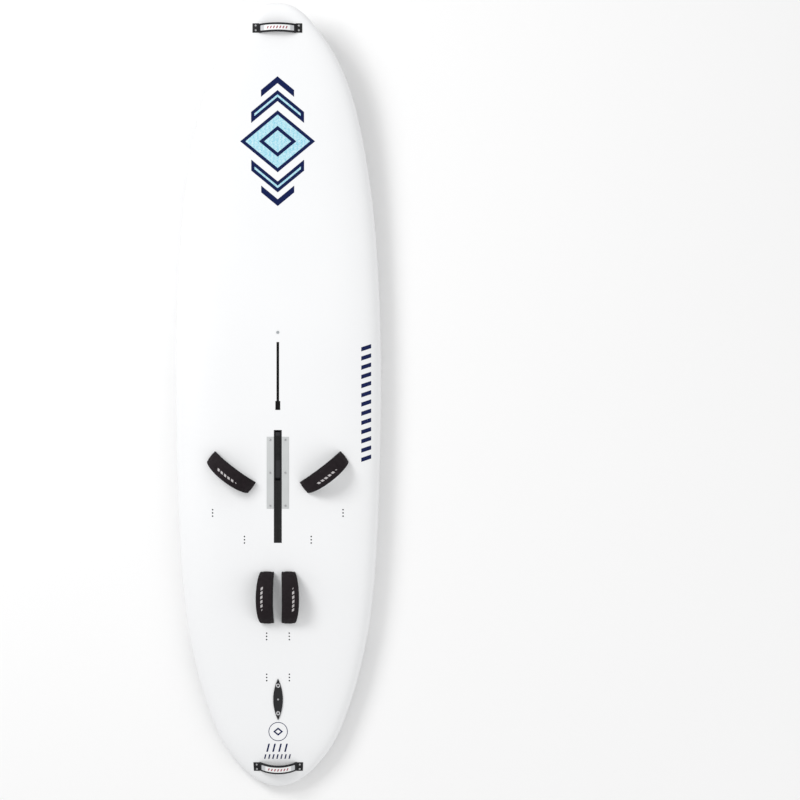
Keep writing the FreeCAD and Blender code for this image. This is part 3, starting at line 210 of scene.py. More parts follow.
def only(thing):
    """Make one object the active one and the only one selected."""
    if bpy.context.object and bpy.context.object.mode != "OBJECT":
        bpy.ops.object.mode_set(mode="OBJECT")
    bpy.ops.object.select_all(action="DESELECT")
    bpy.context.view_layer.objects.active = thing
    thing.select_set(True)
    return thing


def nothing_selected():
    """Leave edit mode and deselect everything."""
    only(nodes["deck_skin"])
    bpy.ops.object.select_all(action="DESELECT")


def apply_all(thing):
    """Apply a piece's modifiers in their order."""
    only(thing)
    for modifier in list(thing.modifiers):
        bpy.ops.object.modifier_apply(modifier=modifier.name)
    return thing


def paint(thing, finish):
    thing.data.materials.clear()
    thing.data.materials.append(finish)


def merged_copy(name, node_name):
    """A piece with a CAD node's shape, its loose triangles joined into whole faces."""
    piece = bpy.data.objects.new(name, nodes[node_name].data.copy())
    bpy.context.scene.collection.objects.link(piece)
    only(piece)
    bpy.ops.object.mode_set(mode="EDIT")
    bpy.ops.mesh.select_all(action="SELECT")
    bpy.ops.mesh.customdata_custom_splitnormals_clear()
    bpy.ops.mesh.remove_doubles(threshold=0.002 * MM)
    bpy.ops.mesh.dissolve_limited(angle_limit=math.radians(0.6))
    bpy.ops.object.mode_set(mode="OBJECT")
    return piece


def finish_piece(piece, body, finish=None, stands_for=(), smooth_angle=35):
    """Shade a finished piece, hang it on its body, and hide the CAD nodes it stands for."""
    if finish is not None:
        paint(piece, finish)
    only(piece)
    bpy.ops.object.shade_smooth_by_angle(angle=math.radians(smooth_angle))
    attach(piece, body)
    if stands_for:
        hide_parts(*stands_for)
    return piece


def eased(node_name, radius, finish, body="hull", segments=3, suffix="moulding"):
    """A CAD node's shape with its edges eased by a radius in millimetres."""
    piece = merged_copy(f"{node_name}_{suffix}", node_name)
    bevel = piece.modifiers.new("eased", "BEVEL")
    bevel.width = radius * MM
    bevel.segments = segments
    bevel.limit_method = "ANGLE"
    bevel.angle_limit = math.radians(40)
    apply_all(piece)
    return finish_piece(piece, body, finish, [node_name])


black_nylon = moulded("black_nylon", BLACK, (0.018, 0.018, 0.02), 0.42)
white_nylon = moulded("white_nylon", (0.86, 0.865, 0.87), (0.80, 0.81, 0.815), 0.38)
grey_nylon = moulded("grey_nylon", PLATE_GREY, (0.55, 0.565, 0.565), 0.4)
for name in ("mast_track_box", "daggerboard_case", "fin_box", "fin_bolt_sleeves",
             "strap_inserts", "handle_plugs"):
    wear(name, black_nylon)
for name in ("pivot_rail_left", "pivot_rail_right"):
    wear(name, white_nylon)
wear("pivot_bushes", grey_nylon)
for name in ("deck_plate_left", "deck_plate_right"):
    eased(name, 0.7, grey_nylon)

# ---------------------------------------------------------------- metal parts
# Pan-head screws and the pivot pin are stainless steel, tumbled so that they shine softly.
# The two fin bolts have turned, chromed heads, and the recess for the driver is painted black:
# painted shade.

stainless = new_finish("tumbled_stainless", (0.55, 0.55, 0.56), 0.32, Metallic=1.0)
cloudy(stainless, 400, (0.60, 0.60, 0.61), (0.44, 0.44, 0.45))
patchy_gloss(stainless, 700, 0.24, 0.42)
scratches = node(stainless, "TexNoise", {"Vector": place_in(stainless), "Scale": 3000.0})
relief(stainless, scratches.outputs["Fac"], 0.02 * MM, 0.4)
for name in ("deck_plate_screws", "fin_plate_screw", "strap_screws", "handle_screws",
             "pivot_pin"):
    wear(name, stainless)

chrome = new_finish("turned_chrome", (0.78, 0.78, 0.80), 0.12, Metallic=1.0)
cloudy(chrome, 300, (0.82, 0.82, 0.84), (0.68, 0.68, 0.70))
patchy_gloss(chrome, 500, 0.08, 0.2)
turning = node(chrome, "TexNoise", {"Vector": place_in(chrome), "Scale": 2600.0})
relief(chrome, turning.outputs["Fac"], 0.015 * MM, 0.3)
BOLT_RECESS_SHADE_RADIUS = 3.6 * MM
for name in ("fin_bolt_front", "fin_bolt_rear"):
    low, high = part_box(name)
    bolt = eased(name, 0.5, chrome, suffix="turned")
    # Faces inside the driver recess take black: painted shade on the chrome.
    bolt.data.materials.append(black_nylon)
    axis = (low + high) / 2
    for face in bolt.data.polygons:
        away = math.hypot(face.center.x - axis.x, face.center.y - axis.y)
        if away < BOLT_RECESS_SHADE_RADIUS and face.center.z < high.z - 0.3 * MM:
            face.material_index = 1

# ----------------------------------------------------------- vent plug and seals
# A grey slotted plug screws into a housing ahead of the mast track, over a rubber ring.
# Turned out a few turns, it lets air in and out of the hull.

rubber = new_finish("matt_rubber", (0.014, 0.014, 0.014), 0.72, Specular_IOR_Level=0.2)
cloudy(rubber, 60, (0.02, 0.02, 0.02), (0.010, 0.010, 0.010))
patchy_gloss(rubber, 200, 0.62, 0.85)
skin_of_rubber = node(rubber, "TexNoise", {"Vector": place_in(rubber), "Scale": 1600.0})
relief(rubber, skin_of_rubber.outputs["Fac"], 0.05 * MM)
for name in ("vent_o_ring", "friction_pads", "deck_slot_lip_left", "deck_slot_lip_right",
             "bottom_gasket_lip_left", "bottom_gasket_lip_right"):
    wear(name, rubber)
vent_grey = moulded("vent_grey", (0.42, 0.44, 0.46), (0.36, 0.38, 0.40), 0.35)
eased("vent_housing", 0.3, white_nylon)
eased("vent_screw", 0.25, vent_grey, body="vent_plug")

# ---------------------------------------------------------------- daggerboard
# A black moulded blade with a kick lever at its head swings on a pin between two bushes.
# Its faces carry a fine grain, and its edges are polished by the case. A ribbed rubber
# strip is glued on the lever, where the sailor's foot pushes it.

blade_black = moulded("blade_black", (0.015, 0.015, 0.017), (0.024, 0.024, 0.027), 0.4, 0.08)
eased("daggerboard_blade", 1.2, blade_black, body="daggerboard", segments=4)

low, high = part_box("lever_grip_pad")
RIB_PITCH = 6 * MM
rib_count = int((high.y - low.y) / RIB_PITCH)
nothing_selected()
bpy.ops.mesh.primitive_cube_add(size=1, location=(0, 0, 0))
grip = bpy.context.object
grip.name = "lever_grip_ribbed"
for vertex in grip.data.vertices:
    vertex.co.x *= high.x - low.x
    vertex.co.y = low.y + RIB_PITCH * 0.36 + vertex.co.y * RIB_PITCH * 0.72
    vertex.co.z = low.z + (vertex.co.z + 0.5) * (high.z - low.z)
row_of_ribs = grip.modifiers.new("ribs", "ARRAY")
row_of_ribs.count = rib_count
row_of_ribs.use_relative_offset = False
row_of_ribs.use_constant_offset = True
row_of_ribs.constant_offset_displace = (0, RIB_PITCH, 0)
round_over = grip.modifiers.new("rounded", "BEVEL")
round_over.width = 0.7 * MM
round_over.segments = 3
apply_all(grip)
finish_piece(grip, "daggerboard", rubber, ["lever_grip_pad"])

# -------------------------------------------------------------- bottom gasket
# A thin white frame with round ends is let in flush round the daggerboard slot and holds
# the two rubber lips. A fine grey line of sealant shows round its edge.

eased("bottom_gasket_frame", 0.3, white_nylon)

# ----------------------------------------------------------------- printed film
# The graphics are thin printed film under the top coat: a navy and pale-blue emblem on
# deck and bottom, a row of slanted bars at the starboard rail, and small marks at the
# tail. Each film is cut flat, laid on the hull and follows its curve.

NAVY = (0.0028, 0.010, 0.075)
PALE_BLUE = (0.46, 0.78, 0.86)
FILM = 0.22 * MM
SLICE = 9 * MM
HIGH_ABOVE = 0.6


def flat_sheet(name, outlines, setback=0.0):
    """A flat sheet cut to closed outlines; an outline inside another is a hole."""
    curve = bpy.data.curves.new(name, "CURVE")
    curve.dimensions = "2D"
    curve.fill_mode = "BOTH"
    curve.offset = -setback
    for outline in outlines:
        spline = curve.splines.new("POLY")
        spline.points.add(len(outline) - 1)
        for point, (x, y) in zip(spline.points, outline):
            point.co = (x, y, 0, 1)
        spline.use_cyclic_u = True
    sheet = bpy.data.objects.new(name, curve)
    bpy.context.scene.collection.objects.link(sheet)
    only(sheet)
    bpy.ops.object.convert(target="MESH")
    return bpy.context.object


def slice_up(sheet, step):
    """Slice a sheet both ways, so that it can follow a curved surface."""
    points = [vertex.co for vertex in sheet.data.vertices]
    only(sheet)
    bpy.ops.object.mode_set(mode="EDIT")
    for axis in (0, 1):
        first = min(point[axis] for point in points)
        last = max(point[axis] for point in points)
        normal = (1, 0, 0) if axis == 0 else (0, 1, 0)
        for index in range(1, int((last - first) / step) + 1):
            level = first + index * step
            bpy.ops.mesh.select_all(action="SELECT")
            bpy.ops.mesh.bisect(plane_co=[level * n for n in normal], plane_no=normal)
    bpy.ops.object.mode_set(mode="OBJECT")


def film(name, outlines, finish, onto, thickness=FILM, setback=0.0, step=SLICE):
    """Printed film on the deck or the bottom of the hull."""
    sheet = flat_sheet(name, outlines, setback)
    slice_up(sheet, step)
    on_deck = onto == "deck_skin"
    for vertex in sheet.data.vertices:
        vertex.co.z = HIGH_ABOVE if on_deck else -HIGH_ABOVE
    only(sheet)
    bpy.ops.object.mode_set(mode="EDIT")
    bpy.ops.mesh.select_all(action="SELECT")
    bpy.ops.mesh.remove_doubles(threshold=0.01 * MM)
    bpy.ops.mesh.normals_make_consistent(inside=False)
    bpy.ops.object.mode_set(mode="OBJECT")
    if (sheet.data.polygons[0].normal.z > 0) != on_deck:
        sheet.data.flip_normals()
    drop = sheet.modifiers.new("laid", "SHRINKWRAP")
    drop.target = nodes[onto]
    drop.wrap_method = "PROJECT"
    drop.use_project_z = True
    drop.use_negative_direction = on_deck
    drop.use_positive_direction = not on_deck
    thick = sheet.modifiers.new("film", "SOLIDIFY")
    thick.thickness = thickness
    thick.offset = 1
    apply_all(sheet)
    return finish_piece(sheet, "hull", finish, smooth_angle=30)


navy_film = new_finish("navy_film", NAVY, 0.34, Specular_IOR_Level=0.15)
cloudy(navy_film, 40, NAVY, (0.002, 0.008, 0.06))
patchy_gloss(navy_film, 60, 0.28, 0.42)
film_skin = node(navy_film, "TexNoise", {"Vector": place_in(navy_film), "Scale": 900.0})
relief(navy_film, film_skin.outputs["Fac"], 0.03 * MM, 0.3)

pale_film = new_finish("pale_film", PALE_BLUE, 0.36, Specular_IOR_Level=0.3)
swirl = node(pale_film, "TexWave", {"Vector": place_in(pale_film), "Scale": 22.0,
                                    "Distortion": 9.0, "Detail": 1.0, "Detail Scale": 14.0})
swirl_lines = node(pale_film, "ValToRGB", {0: swirl.outputs["Fac"]})
swirl_lines.color_ramp.elements[0].position = 0.30
swirl_lines.color_ramp.elements[0].color = (0.24, 0.60, 0.74, 1)
swirl_lines.color_ramp.elements[1].position = 0.62
swirl_lines.color_ramp.elements[1].color = (0.60, 0.82, 0.88, 1)
to_shader(pale_film, "Base Color", swirl_lines.outputs[0])
patchy_gloss(pale_film, 60, 0.3, 0.44)
relief(pale_film, swirl.outputs["Fac"], 0.02 * MM, 0.3)

RHOMBUS = [(0, 0.112), (0.136, 0), (0, -0.112), (-0.136, 0)]
INNER_RHOMBUS = [(x * 0.5, y * 0.5) for x, y in RHOMBUS]
WIDE_CHEVRON = [(0, 0.185), (0.096, 0.106), (0.096, 0.066), (0, 0.145), (-0.096, 0.066),
                (-0.096, 0.106)]
SMALL_CHEVRON = [(0, 0.2345), (0.060, 0.185), (0.060, 0.160), (0, 0.2095), (-0.060, 0.160),
                 (-0.060, 0.185)]
EMBLEM_BORDER = 12 * MM
for onto, name, middle in (("deck_skin", "deck", 0.925), ("bottom_skin", "bottom", 0.7105)):
    def moved(outline, flip=1):
        return [(x, middle + flip * y) for x, y in outline]

    shapes = {"rhombus": moved(RHOMBUS)}
    for flip, way in ((1, "fore"), (-1, "aft")):
        shapes[f"wide_chevron_{way}"] = moved(WIDE_CHEVRON, flip)
        film(f"{name}_small_chevron_{way}", [moved(SMALL_CHEVRON, flip)], navy_film, onto)
    for shape, outline in shapes.items():
        film(f"{name}_{shape}_border", [outline], navy_film, onto)
        film(f"{name}_{shape}_fill", [outline], pale_film, onto, 1.5 * FILM, EMBLEM_BORDER)
    ring = [moved(INNER_RHOMBUS), moved([(x * 0.72, y * 0.72) for x, y in INNER_RHOMBUS])]
    film(f"{name}_inner_rhombus", ring, navy_film, onto, 2 * FILM)

RAIL_BARS = 13
RAIL_BARS_FROM = -0.239
RAIL_BAR_PITCH = 33.5 * MM
RAIL_BAR_REACH = (0.303, 0.339)
for index in range(RAIL_BARS):
    start = RAIL_BARS_FROM + index * RAIL_BAR_PITCH
    inner, outer = RAIL_BAR_REACH
    film(f"rail_bar_{index:02d}",
         [[(inner, start), (outer, start + 0.012), (outer, start + 0.027),
           (inner, start + 0.015)]],
         navy_film, "deck_skin", step=5 * MM)


def ring_outline(radius, middle, turns=48):
    return [(radius * math.cos(2 * math.pi * k / turns),
             middle + radius * math.sin(2 * math.pi * k / turns)) for k in range(turns)]


TAIL_RING = -1.2216
film("tail_ring", [ring_outline(0.035, TAIL_RING), ring_outline(0.0325, TAIL_RING)],
     navy_film, "deck_skin", step=12 * MM)
film("tail_ring_mark", [[(0, TAIL_RING + 0.015), (0.018, TAIL_RING), (0, TAIL_RING - 0.015),
                         (-0.018, TAIL_RING)],
                        [(0, TAIL_RING + 0.008), (0.010, TAIL_RING), (0, TAIL_RING - 0.008),
                         (-0.010, TAIL_RING)]],
     navy_film, "deck_skin")
for row, (half, top, height, count) in enumerate(((0.0436, -1.266, 0.030, 4),
                                                  (0.052, -1.305, 0.017, 7))):
    pitch = 2 * half / count
    for index in range(count):
        left = -half + index * pitch
        slant = height * 0.25
        film(f"tail_bar_{row}_{index}",
             [[(left, top - height), (left + pitch * 0.62 - slant, top - height),
               (left + pitch * 0.62, top), (left + slant, top)]],
             navy_film, "deck_skin", step=12 * MM)

sealant_grey = new_finish("sealant_grey", (0.30, 0.31, 0.32), 0.5)
cloudy(sealant_grey, 80, (0.34, 0.35, 0.36), (0.24, 0.25, 0.26))
patchy_gloss(sealant_grey, 150, 0.4, 0.6)
low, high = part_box("bottom_gasket_frame")


def round_ended(half_width, front, back, turns=16):
    """Outline of a strip along the board with round ends."""
    points = []
    for end, start in ((front - half_width, 0), (back + half_width, math.pi)):
        for k in range(turns + 1):
            angle = start + math.pi * k / turns
            points.append((half_width * math.cos(angle), end + half_width * math.sin(angle)))
    return points


seal_line = flat_sheet("bottom_seal_line", [
    round_ended(high.x + 0.5 * MM, high.y + 0.5 * MM, low.y - 0.5 * MM),
    round_ended(high.x - 0.9 * MM, high.y - 0.9 * MM, low.y + 0.9 * MM)])
for vertex in seal_line.data.vertices:
    vertex.co.z = 0.02 * MM
if seal_line.data.polygons[0].normal.z > 0:
    seal_line.data.flip_normals()
bead = seal_line.modifiers.new("bead", "SOLIDIFY")
bead.thickness = 0.12 * MM
bead.offset = 1
apply_all(seal_line)
finish_piece(seal_line, "hull", sealant_grey)

# ------------------------------------------------------------------ fin box top
# A lens-shaped black cover lies on the deck over the fin box. Two bolts go down through
# it into the fin, and a small screw holds it in the middle.

eased("fin_plate", 1.0, black_nylon, segments=4)

# ------------------------------------------------------------------ foot straps
# Each strap is a band of black webbing in a padded neoprene cover, screwed down at both
# ends through a washer. The cover is cut wider in the middle and leans outboard, its long
# edges are bound with tape, and two sewn channels run along it.

STRAP_ENDS = {
    "front_right": ((0.2296, -0.2322), (0.1104, -0.3232), 1),
    "front_left": ((-0.2296, -0.2322), (-0.1104, -0.3232), -1),
    "rear_right": ((0.0412, -0.656), (0.0412, -0.806), 1),
    "rear_left": ((-0.0412, -0.656), (-0.0412, -0.806), -1),
}
STRAP_RISE = 66 * MM
STRAP_HALF_SPAN = 88 * MM
STRAP_LIFT = 0.7 * MM
WEBBING = 2.4 * MM
COVER_GAP = 3.2 * MM
COVER_THICK = 6.4 * MM
STRAP_LEAN = 9 * MM
COVER_END_HALF = 22.5 * MM
COVER_SWELL = 7 * MM
COVER_TUCK = 0.12
SEAM_PART = 0.70
FOLD_SHARE = 0.80
STITCH_PITCH = 4.8 * MM
WEBBING_HALF = 23 * MM
BINDING_RADIUS = 2.1 * MM
ARCH_SHARE = 0.82
ARCH_END = 0.925
# Foot of the webbing from its toe to where the arch takes off: place along, and height.
FOOT_PATH = [(0.062, 0.0013), (0.0715, 0.0013), (0.0805, 0.0013), (0.0845, 0.0017),
             (0.0866, 0.0031), (0.0873, 0.0052)]


def deck_spot(x, y, aside=0.019):
    """Point and normal of the deck round a place, clear of any hole there."""
    points, normals = [], []
    for step_x in (-aside, aside):
        for step_y in (-aside, aside):
            _, point, normal, _ = nodes["deck_skin"].ray_cast(
                Vector((x + step_x, y + step_y, HIGH_ABOVE)), Vector((0, 0, -1)))
            points.append(point)
            normals.append(normal)
    return sum(points, Vector()) / 4, sum(normals, Vector()).normalized()


class Arch:
    """A band bent over a span: turns places on the flat band into places on the board."""

    def __init__(self, middle, chord, up, half_span, rise):
        self.radius = (half_span ** 2 + rise ** 2) / (2 * rise)
        self.sweep = math.acos((self.radius - rise) / self.radius)
        self.sink = self.radius - rise
        side = up.cross(chord).normalized()
        up = chord.cross(side).normalized()
        self.frame = Matrix((chord.normalized(), side, up)).transposed()
        self.middle = middle

    def at(self, share, aside, height):
        """Share of the sweep from -1 to 1, metres to the side, metres above the band."""
        angle = share * self.sweep
        out = self.radius + height
        local = Vector((out * math.sin(angle), aside, out * math.cos(angle) - self.sink))
        return self.middle + self.frame @ local

    def local(self, x, aside, z):
        return self.middle + self.frame @ Vector((x, aside, z))


def sheet_grid(name, long_cells, cross_cells):
    """A closed flat slab from -1 to 1 both ways, with its underside at z -1."""
    nothing_selected()
    bpy.ops.mesh.primitive_grid_add(x_subdivisions=long_cells, y_subdivisions=cross_cells,
                                    size=2, location=(0, 0, 0))
    sheet = bpy.context.object
    sheet.name = name
    thick = sheet.modifiers.new("body", "SOLIDIFY")
    thick.thickness = 1
    thick.offset = -1
    return apply_all(sheet)


def subdivided(piece):
    smooth = piece.modifiers.new("smooth", "SUBSURF")
    smooth.levels = 1
    smooth.render_levels = 1
    return apply_all(piece)


def tube(name, points, radius, finish):
    """A round cord along points, closed at both ends."""
    curve = bpy.data.curves.new(name, "CURVE")
    curve.dimensions = "3D"
    curve.bevel_depth = radius
    curve.bevel_resolution = 5
    curve.use_fill_caps = True
    spline = curve.splines.new("POLY")
    spline.points.add(len(points) - 1)
    for point, place in zip(spline.points, points):
        point.co = (*place, 1)
    cord = bpy.data.objects.new(name, curve)
    bpy.context.scene.collection.objects.link(cord)
    only(cord)
    bpy.ops.object.convert(target="MESH")
    piece = bpy.context.object
    bpy.ops.object.mode_set(mode="EDIT")
    bpy.ops.mesh.select_all(action="SELECT")
    bpy.ops.mesh.remove_doubles(threshold=0.01 * MM)
    bpy.ops.mesh.normals_make_consistent(inside=False)
    bpy.ops.object.mode_set(mode="OBJECT")
    paint(piece, finish)
    return piece


def join(pieces, name):
    """Join like pieces into one."""
    only(pieces[0])
    for piece in pieces[1:]:
        piece.select_set(True)
    if len(pieces) > 1:
        bpy.ops.object.join()
    pieces[0].name = name
    return pieces[0]


neoprene = new_finish("neoprene_jersey", (0.020, 0.016, 0.019), 0.78,
                      Specular_IOR_Level=0.15)
cloudy(neoprene, 45, (0.020, 0.014, 0.017), (0.009, 0.007, 0.008))
patchy_gloss(neoprene, 80, 0.7, 0.9)
knit_place = node(neoprene, "Mapping", {0: place_in(neoprene), "Scale": (1500, 1500, 1500)})
knit = node(neoprene, "TexVoronoi", {"Vector": knit_place.outputs[0], "Scale": 1.0})
relief(neoprene, knit.outputs["Distance"], 0.12 * MM, 0.7)

webbing_black = new_finish("woven_webbing", (0.018, 0.018, 0.02), 0.7, Specular_IOR_Level=0.2)
cloudy(webbing_black, 60, (0.03, 0.03, 0.033), (0.014, 0.014, 0.016))
patchy_gloss(webbing_black, 150, 0.6, 0.8)
warp = node(webbing_black, "TexWave", {"Vector": place_in(webbing_black), "Scale": 260.0},
            bands_direction="X")
weft = node(webbing_black, "TexWave", {"Vector": place_in(webbing_black), "Scale": 260.0},
            bands_direction="Y")
weave = math_node(webbing_black, "MULTIPLY", warp.outputs["Fac"], weft.outputs["Fac"])
relief(webbing_black, weave, 0.3 * MM, 0.8)

binding_black = new_finish("binding_tape", (0.012, 0.011, 0.013), 0.6, Specular_IOR_Level=0.2)
cloudy(binding_black, 120, (0.020, 0.018, 0.021), (0.009, 0.009, 0.010))
patchy_gloss(binding_black, 200, 0.5, 0.7)
rep = node(binding_black, "TexNoise", {"Vector": place_in(binding_black), "Scale": 1800.0})
relief(binding_black, rep.outputs["Fac"], 0.1 * MM)

thread_grey = new_finish("thread", (0.07, 0.066, 0.07), 0.6)
cloudy(thread_grey, 500, (0.09, 0.085, 0.09), (0.05, 0.048, 0.05))
patchy_gloss(thread_grey, 400, 0.5, 0.75)

strap_print = new_finish("strap_print", (0.52, 0.50, 0.50), 0.55)
cloudy(strap_print, 160, (0.60, 0.57, 0.57), (0.36, 0.34, 0.35))
patchy_gloss(strap_print, 300, 0.45, 0.7)


def cover_half_width(share):
    full = COVER_END_HALF + COVER_SWELL * math.cos(share * math.pi / 2) ** 0.8
    tip = max(0.0, (abs(share) - 0.94) / 0.06)
    return full * (1 - COVER_TUCK * tip ** 2)


def cover_aside(share, lean):
    return lean * STRAP_LEAN * (math.cos(share * math.pi / 2) - 0.35)


def cover_top(share, part):
    """Height of the padded face above the cover's underside."""
    crown = 1 - 0.50 * abs(part) ** 3.5
    channel = math.exp(-((abs(part) - SEAM_PART) / 0.055) ** 2)
    fold = math.exp(-((abs(share) - FOLD_SHARE) / 0.012) ** 2)
    tip = max(0.0, (abs(share) - 0.96) / 0.04)
    puff = 0.0005 * math.sin(share * 23) * math.cos(part * 2)
    return (COVER_THICK * crown + puff) * (1 - 0.45 * tip) - 0.0011 * channel - 0.0012 * fold


for name, (first_end, last_end, lean) in STRAP_ENDS.items():
    first_point, first_normal = deck_spot(*first_end)
    last_point, last_normal = deck_spot(*last_end)
    up = (first_normal + last_normal).normalized()
    arch = Arch((first_point + last_point) / 2 + up * STRAP_LIFT, last_point - first_point,
                up, STRAP_HALF_SPAN, STRAP_RISE)
    arc_length = arch.radius * arch.sweep

    cover = sheet_grid(f"strap_pad_{name}", 84, 26)
    for vertex in cover.data.vertices:
        share, part, depth = vertex.co
        part = math.sin(part * math.pi / 2)
        rise = cover_top(share, part) if depth > -0.5 else 0.0008 * abs(part) ** 3
        vertex.co = arch.at(share, cover_aside(share, lean) + part * cover_half_width(share),
                            COVER_GAP + rise)
    subdivided(cover)
    finish_piece(cover, "hull", neoprene, [f"strap_cover_{name}"], 60)

    bindings = []
    for edge in (-1, 1):
        line = []
        for k in range(73):
            share = -0.985 + 1.97 * k / 72
            line.append(arch.at(share, cover_aside(share, lean)
                                + edge * cover_half_width(share), COVER_GAP + 1.9 * MM))
        bindings.append(tube(f"binding_{name}_{edge}", line, BINDING_RADIUS,
                             binding_black))
    binding = join(bindings, f"strap_binding_{name}")
    finish_piece(binding, "hull", smooth_angle=60)

    rows = []
    for part in (-SEAM_PART, SEAM_PART):
        stitches = sheet_grid(f"stitch_{name}_{part}", 2, 1)
        for vertex in stitches.data.vertices:
            x, y, z = vertex.co
            vertex.co = (-0.9 * arc_length + 1.6 * MM * x, 0.32 * MM * y,
                         0.45 * MM if z > -0.5 else -0.3 * MM)
        run = stitches.modifiers.new("run", "ARRAY")
        run.count = int(1.8 * arc_length / STITCH_PITCH)
        run.use_relative_offset = False
        run.use_constant_offset = True
        run.constant_offset_displace = (STITCH_PITCH, 0, 0)
        apply_all(stitches)
        for vertex in stitches.data.vertices:
            x, y, z = vertex.co
            share = x / arc_length
            aside = cover_aside(share, lean) + part * cover_half_width(share) + y
            vertex.co = arch.at(share, aside, COVER_GAP + cover_top(share, part) + z)
        paint(stitches, thread_grey)
        rows.append(stitches)
    seams = join(rows, f"strap_stitching_{name}")
    finish_piece(seams, "hull")

    dashes = []
    for index in range(6):
        dash = sheet_grid(f"dash_{name}_{index}", 5, 3)
        for vertex in dash.data.vertices:
            x, y, z = vertex.co
            size = 0.45 if index == 5 else 1.0
            along_it = (-0.036 + 0.0145 * index + x * 0.0046 * size + y * 0.0022) * -lean
            share = along_it / arc_length
            part = lean * (0.36 + 0.13 * y * size)
            aside = cover_aside(share, lean) + part * cover_half_width(share)
            lift = 0.3 * MM if z > -0.5 else -0.4 * MM
            vertex.co = arch.at(share, aside, COVER_GAP + cover_top(share, part) + lift)
        if lean > 0:
            dash.data.flip_normals()
        paint(dash, strap_print)
        dashes.append(dash)
    marks = join(dashes, f"strap_marks_{name}")
    finish_piece(marks, "hull")

    band = sheet_grid(f"strap_band_{name}", 96, 10)
    for vertex in band.data.vertices:
        x, y, z = vertex.co
        out = WEBBING / 2 * (1 if z > -0.5 else -1)
        share_of_band = abs(x)
        aside = WEBBING_HALF * y
        if share_of_band < ARCH_SHARE:
            vertex.co = arch.at(x / ARCH_SHARE * ARCH_END, aside, WEBBING / 2 + out)
            continue
        place = (1 - (share_of_band - ARCH_SHARE) / (1 - ARCH_SHARE)) * (len(FOOT_PATH) - 1)
        index = min(int(place), len(FOOT_PATH) - 2)
        part = place - index
        (x0, z0), (x1, z1) = FOOT_PATH[index], FOOT_PATH[index + 1]
        run_x, run_z = x1 - x0, z1 - z0
        length = math.hypot(run_x, run_z)
        spot_x = x0 + run_x * part + out * run_z / length
        spot_z = z0 + run_z * part - out * run_x / length
        vertex.co = arch.local(math.copysign(spot_x, x), aside, spot_z)
    finish_piece(band, "hull", webbing_black, [f"strap_webbing_{name}"], 50)

eased("strap_washers", 0.5, black_nylon)

# --------------------------------------------------------------- carry handles
# At nose and tail a webbing sleeve arches between two ribbed end plates, each held by two
# screws into square plugs. A thin silver and white plate is sewn on top of the sleeve.

HANDLE_HALF_SPAN = 66 * MM
HANDLE_BOW = 4.5 * MM
SLEEVE = 4 * MM
SLEEVE_HALF = 16.8 * MM
END_PLATE_AT = 78 * MM
END_PLATE = Vector((24, 34, 3)) * MM
END_RIB = Vector((1.3, 30, 1.6)) * MM
END_RIB_PITCH = 2.6 * MM
END_RIB_SETS_APART = 13.8 * MM
PANEL_HALF = (62 * MM, 9.5 * MM)
plate_silver = new_finish("handle_plate", (0.72, 0.73, 0.75), 0.38)
x_of_plate, _, _ = node(plate_silver, "SeparateXYZ", {0: place_in(plate_silver)}).outputs
out_along = math_node(plate_silver, "ABSOLUTE", x_of_plate)
end_zone = node(plate_silver, "MapRange", {0: out_along, 1: 0.045, 2: 0.049}).outputs[0]
tone = node(plate_silver, "Mix", {0: end_zone, 6: (0.86, 0.87, 0.87, 1),
                                  7: (0.55, 0.56, 0.58, 1)}, data_type="RGBA")
to_shader(plate_silver, "Base Color", tone.outputs[2])
patchy_gloss(plate_silver, 120, 0.3, 0.5)
brushing = node(plate_silver, "TexNoise", {"Vector": place_in(plate_silver), "Scale": 1500.0})
relief(plate_silver, brushing.outputs["Fac"], 0.03 * MM, 0.4)

muted_red = new_finish("muted_red_print", (0.36, 0.06, 0.09), 0.45)
cloudy(muted_red, 90, (0.42, 0.08, 0.11), (0.30, 0.045, 0.07))
patchy_gloss(muted_red, 200, 0.38, 0.55)

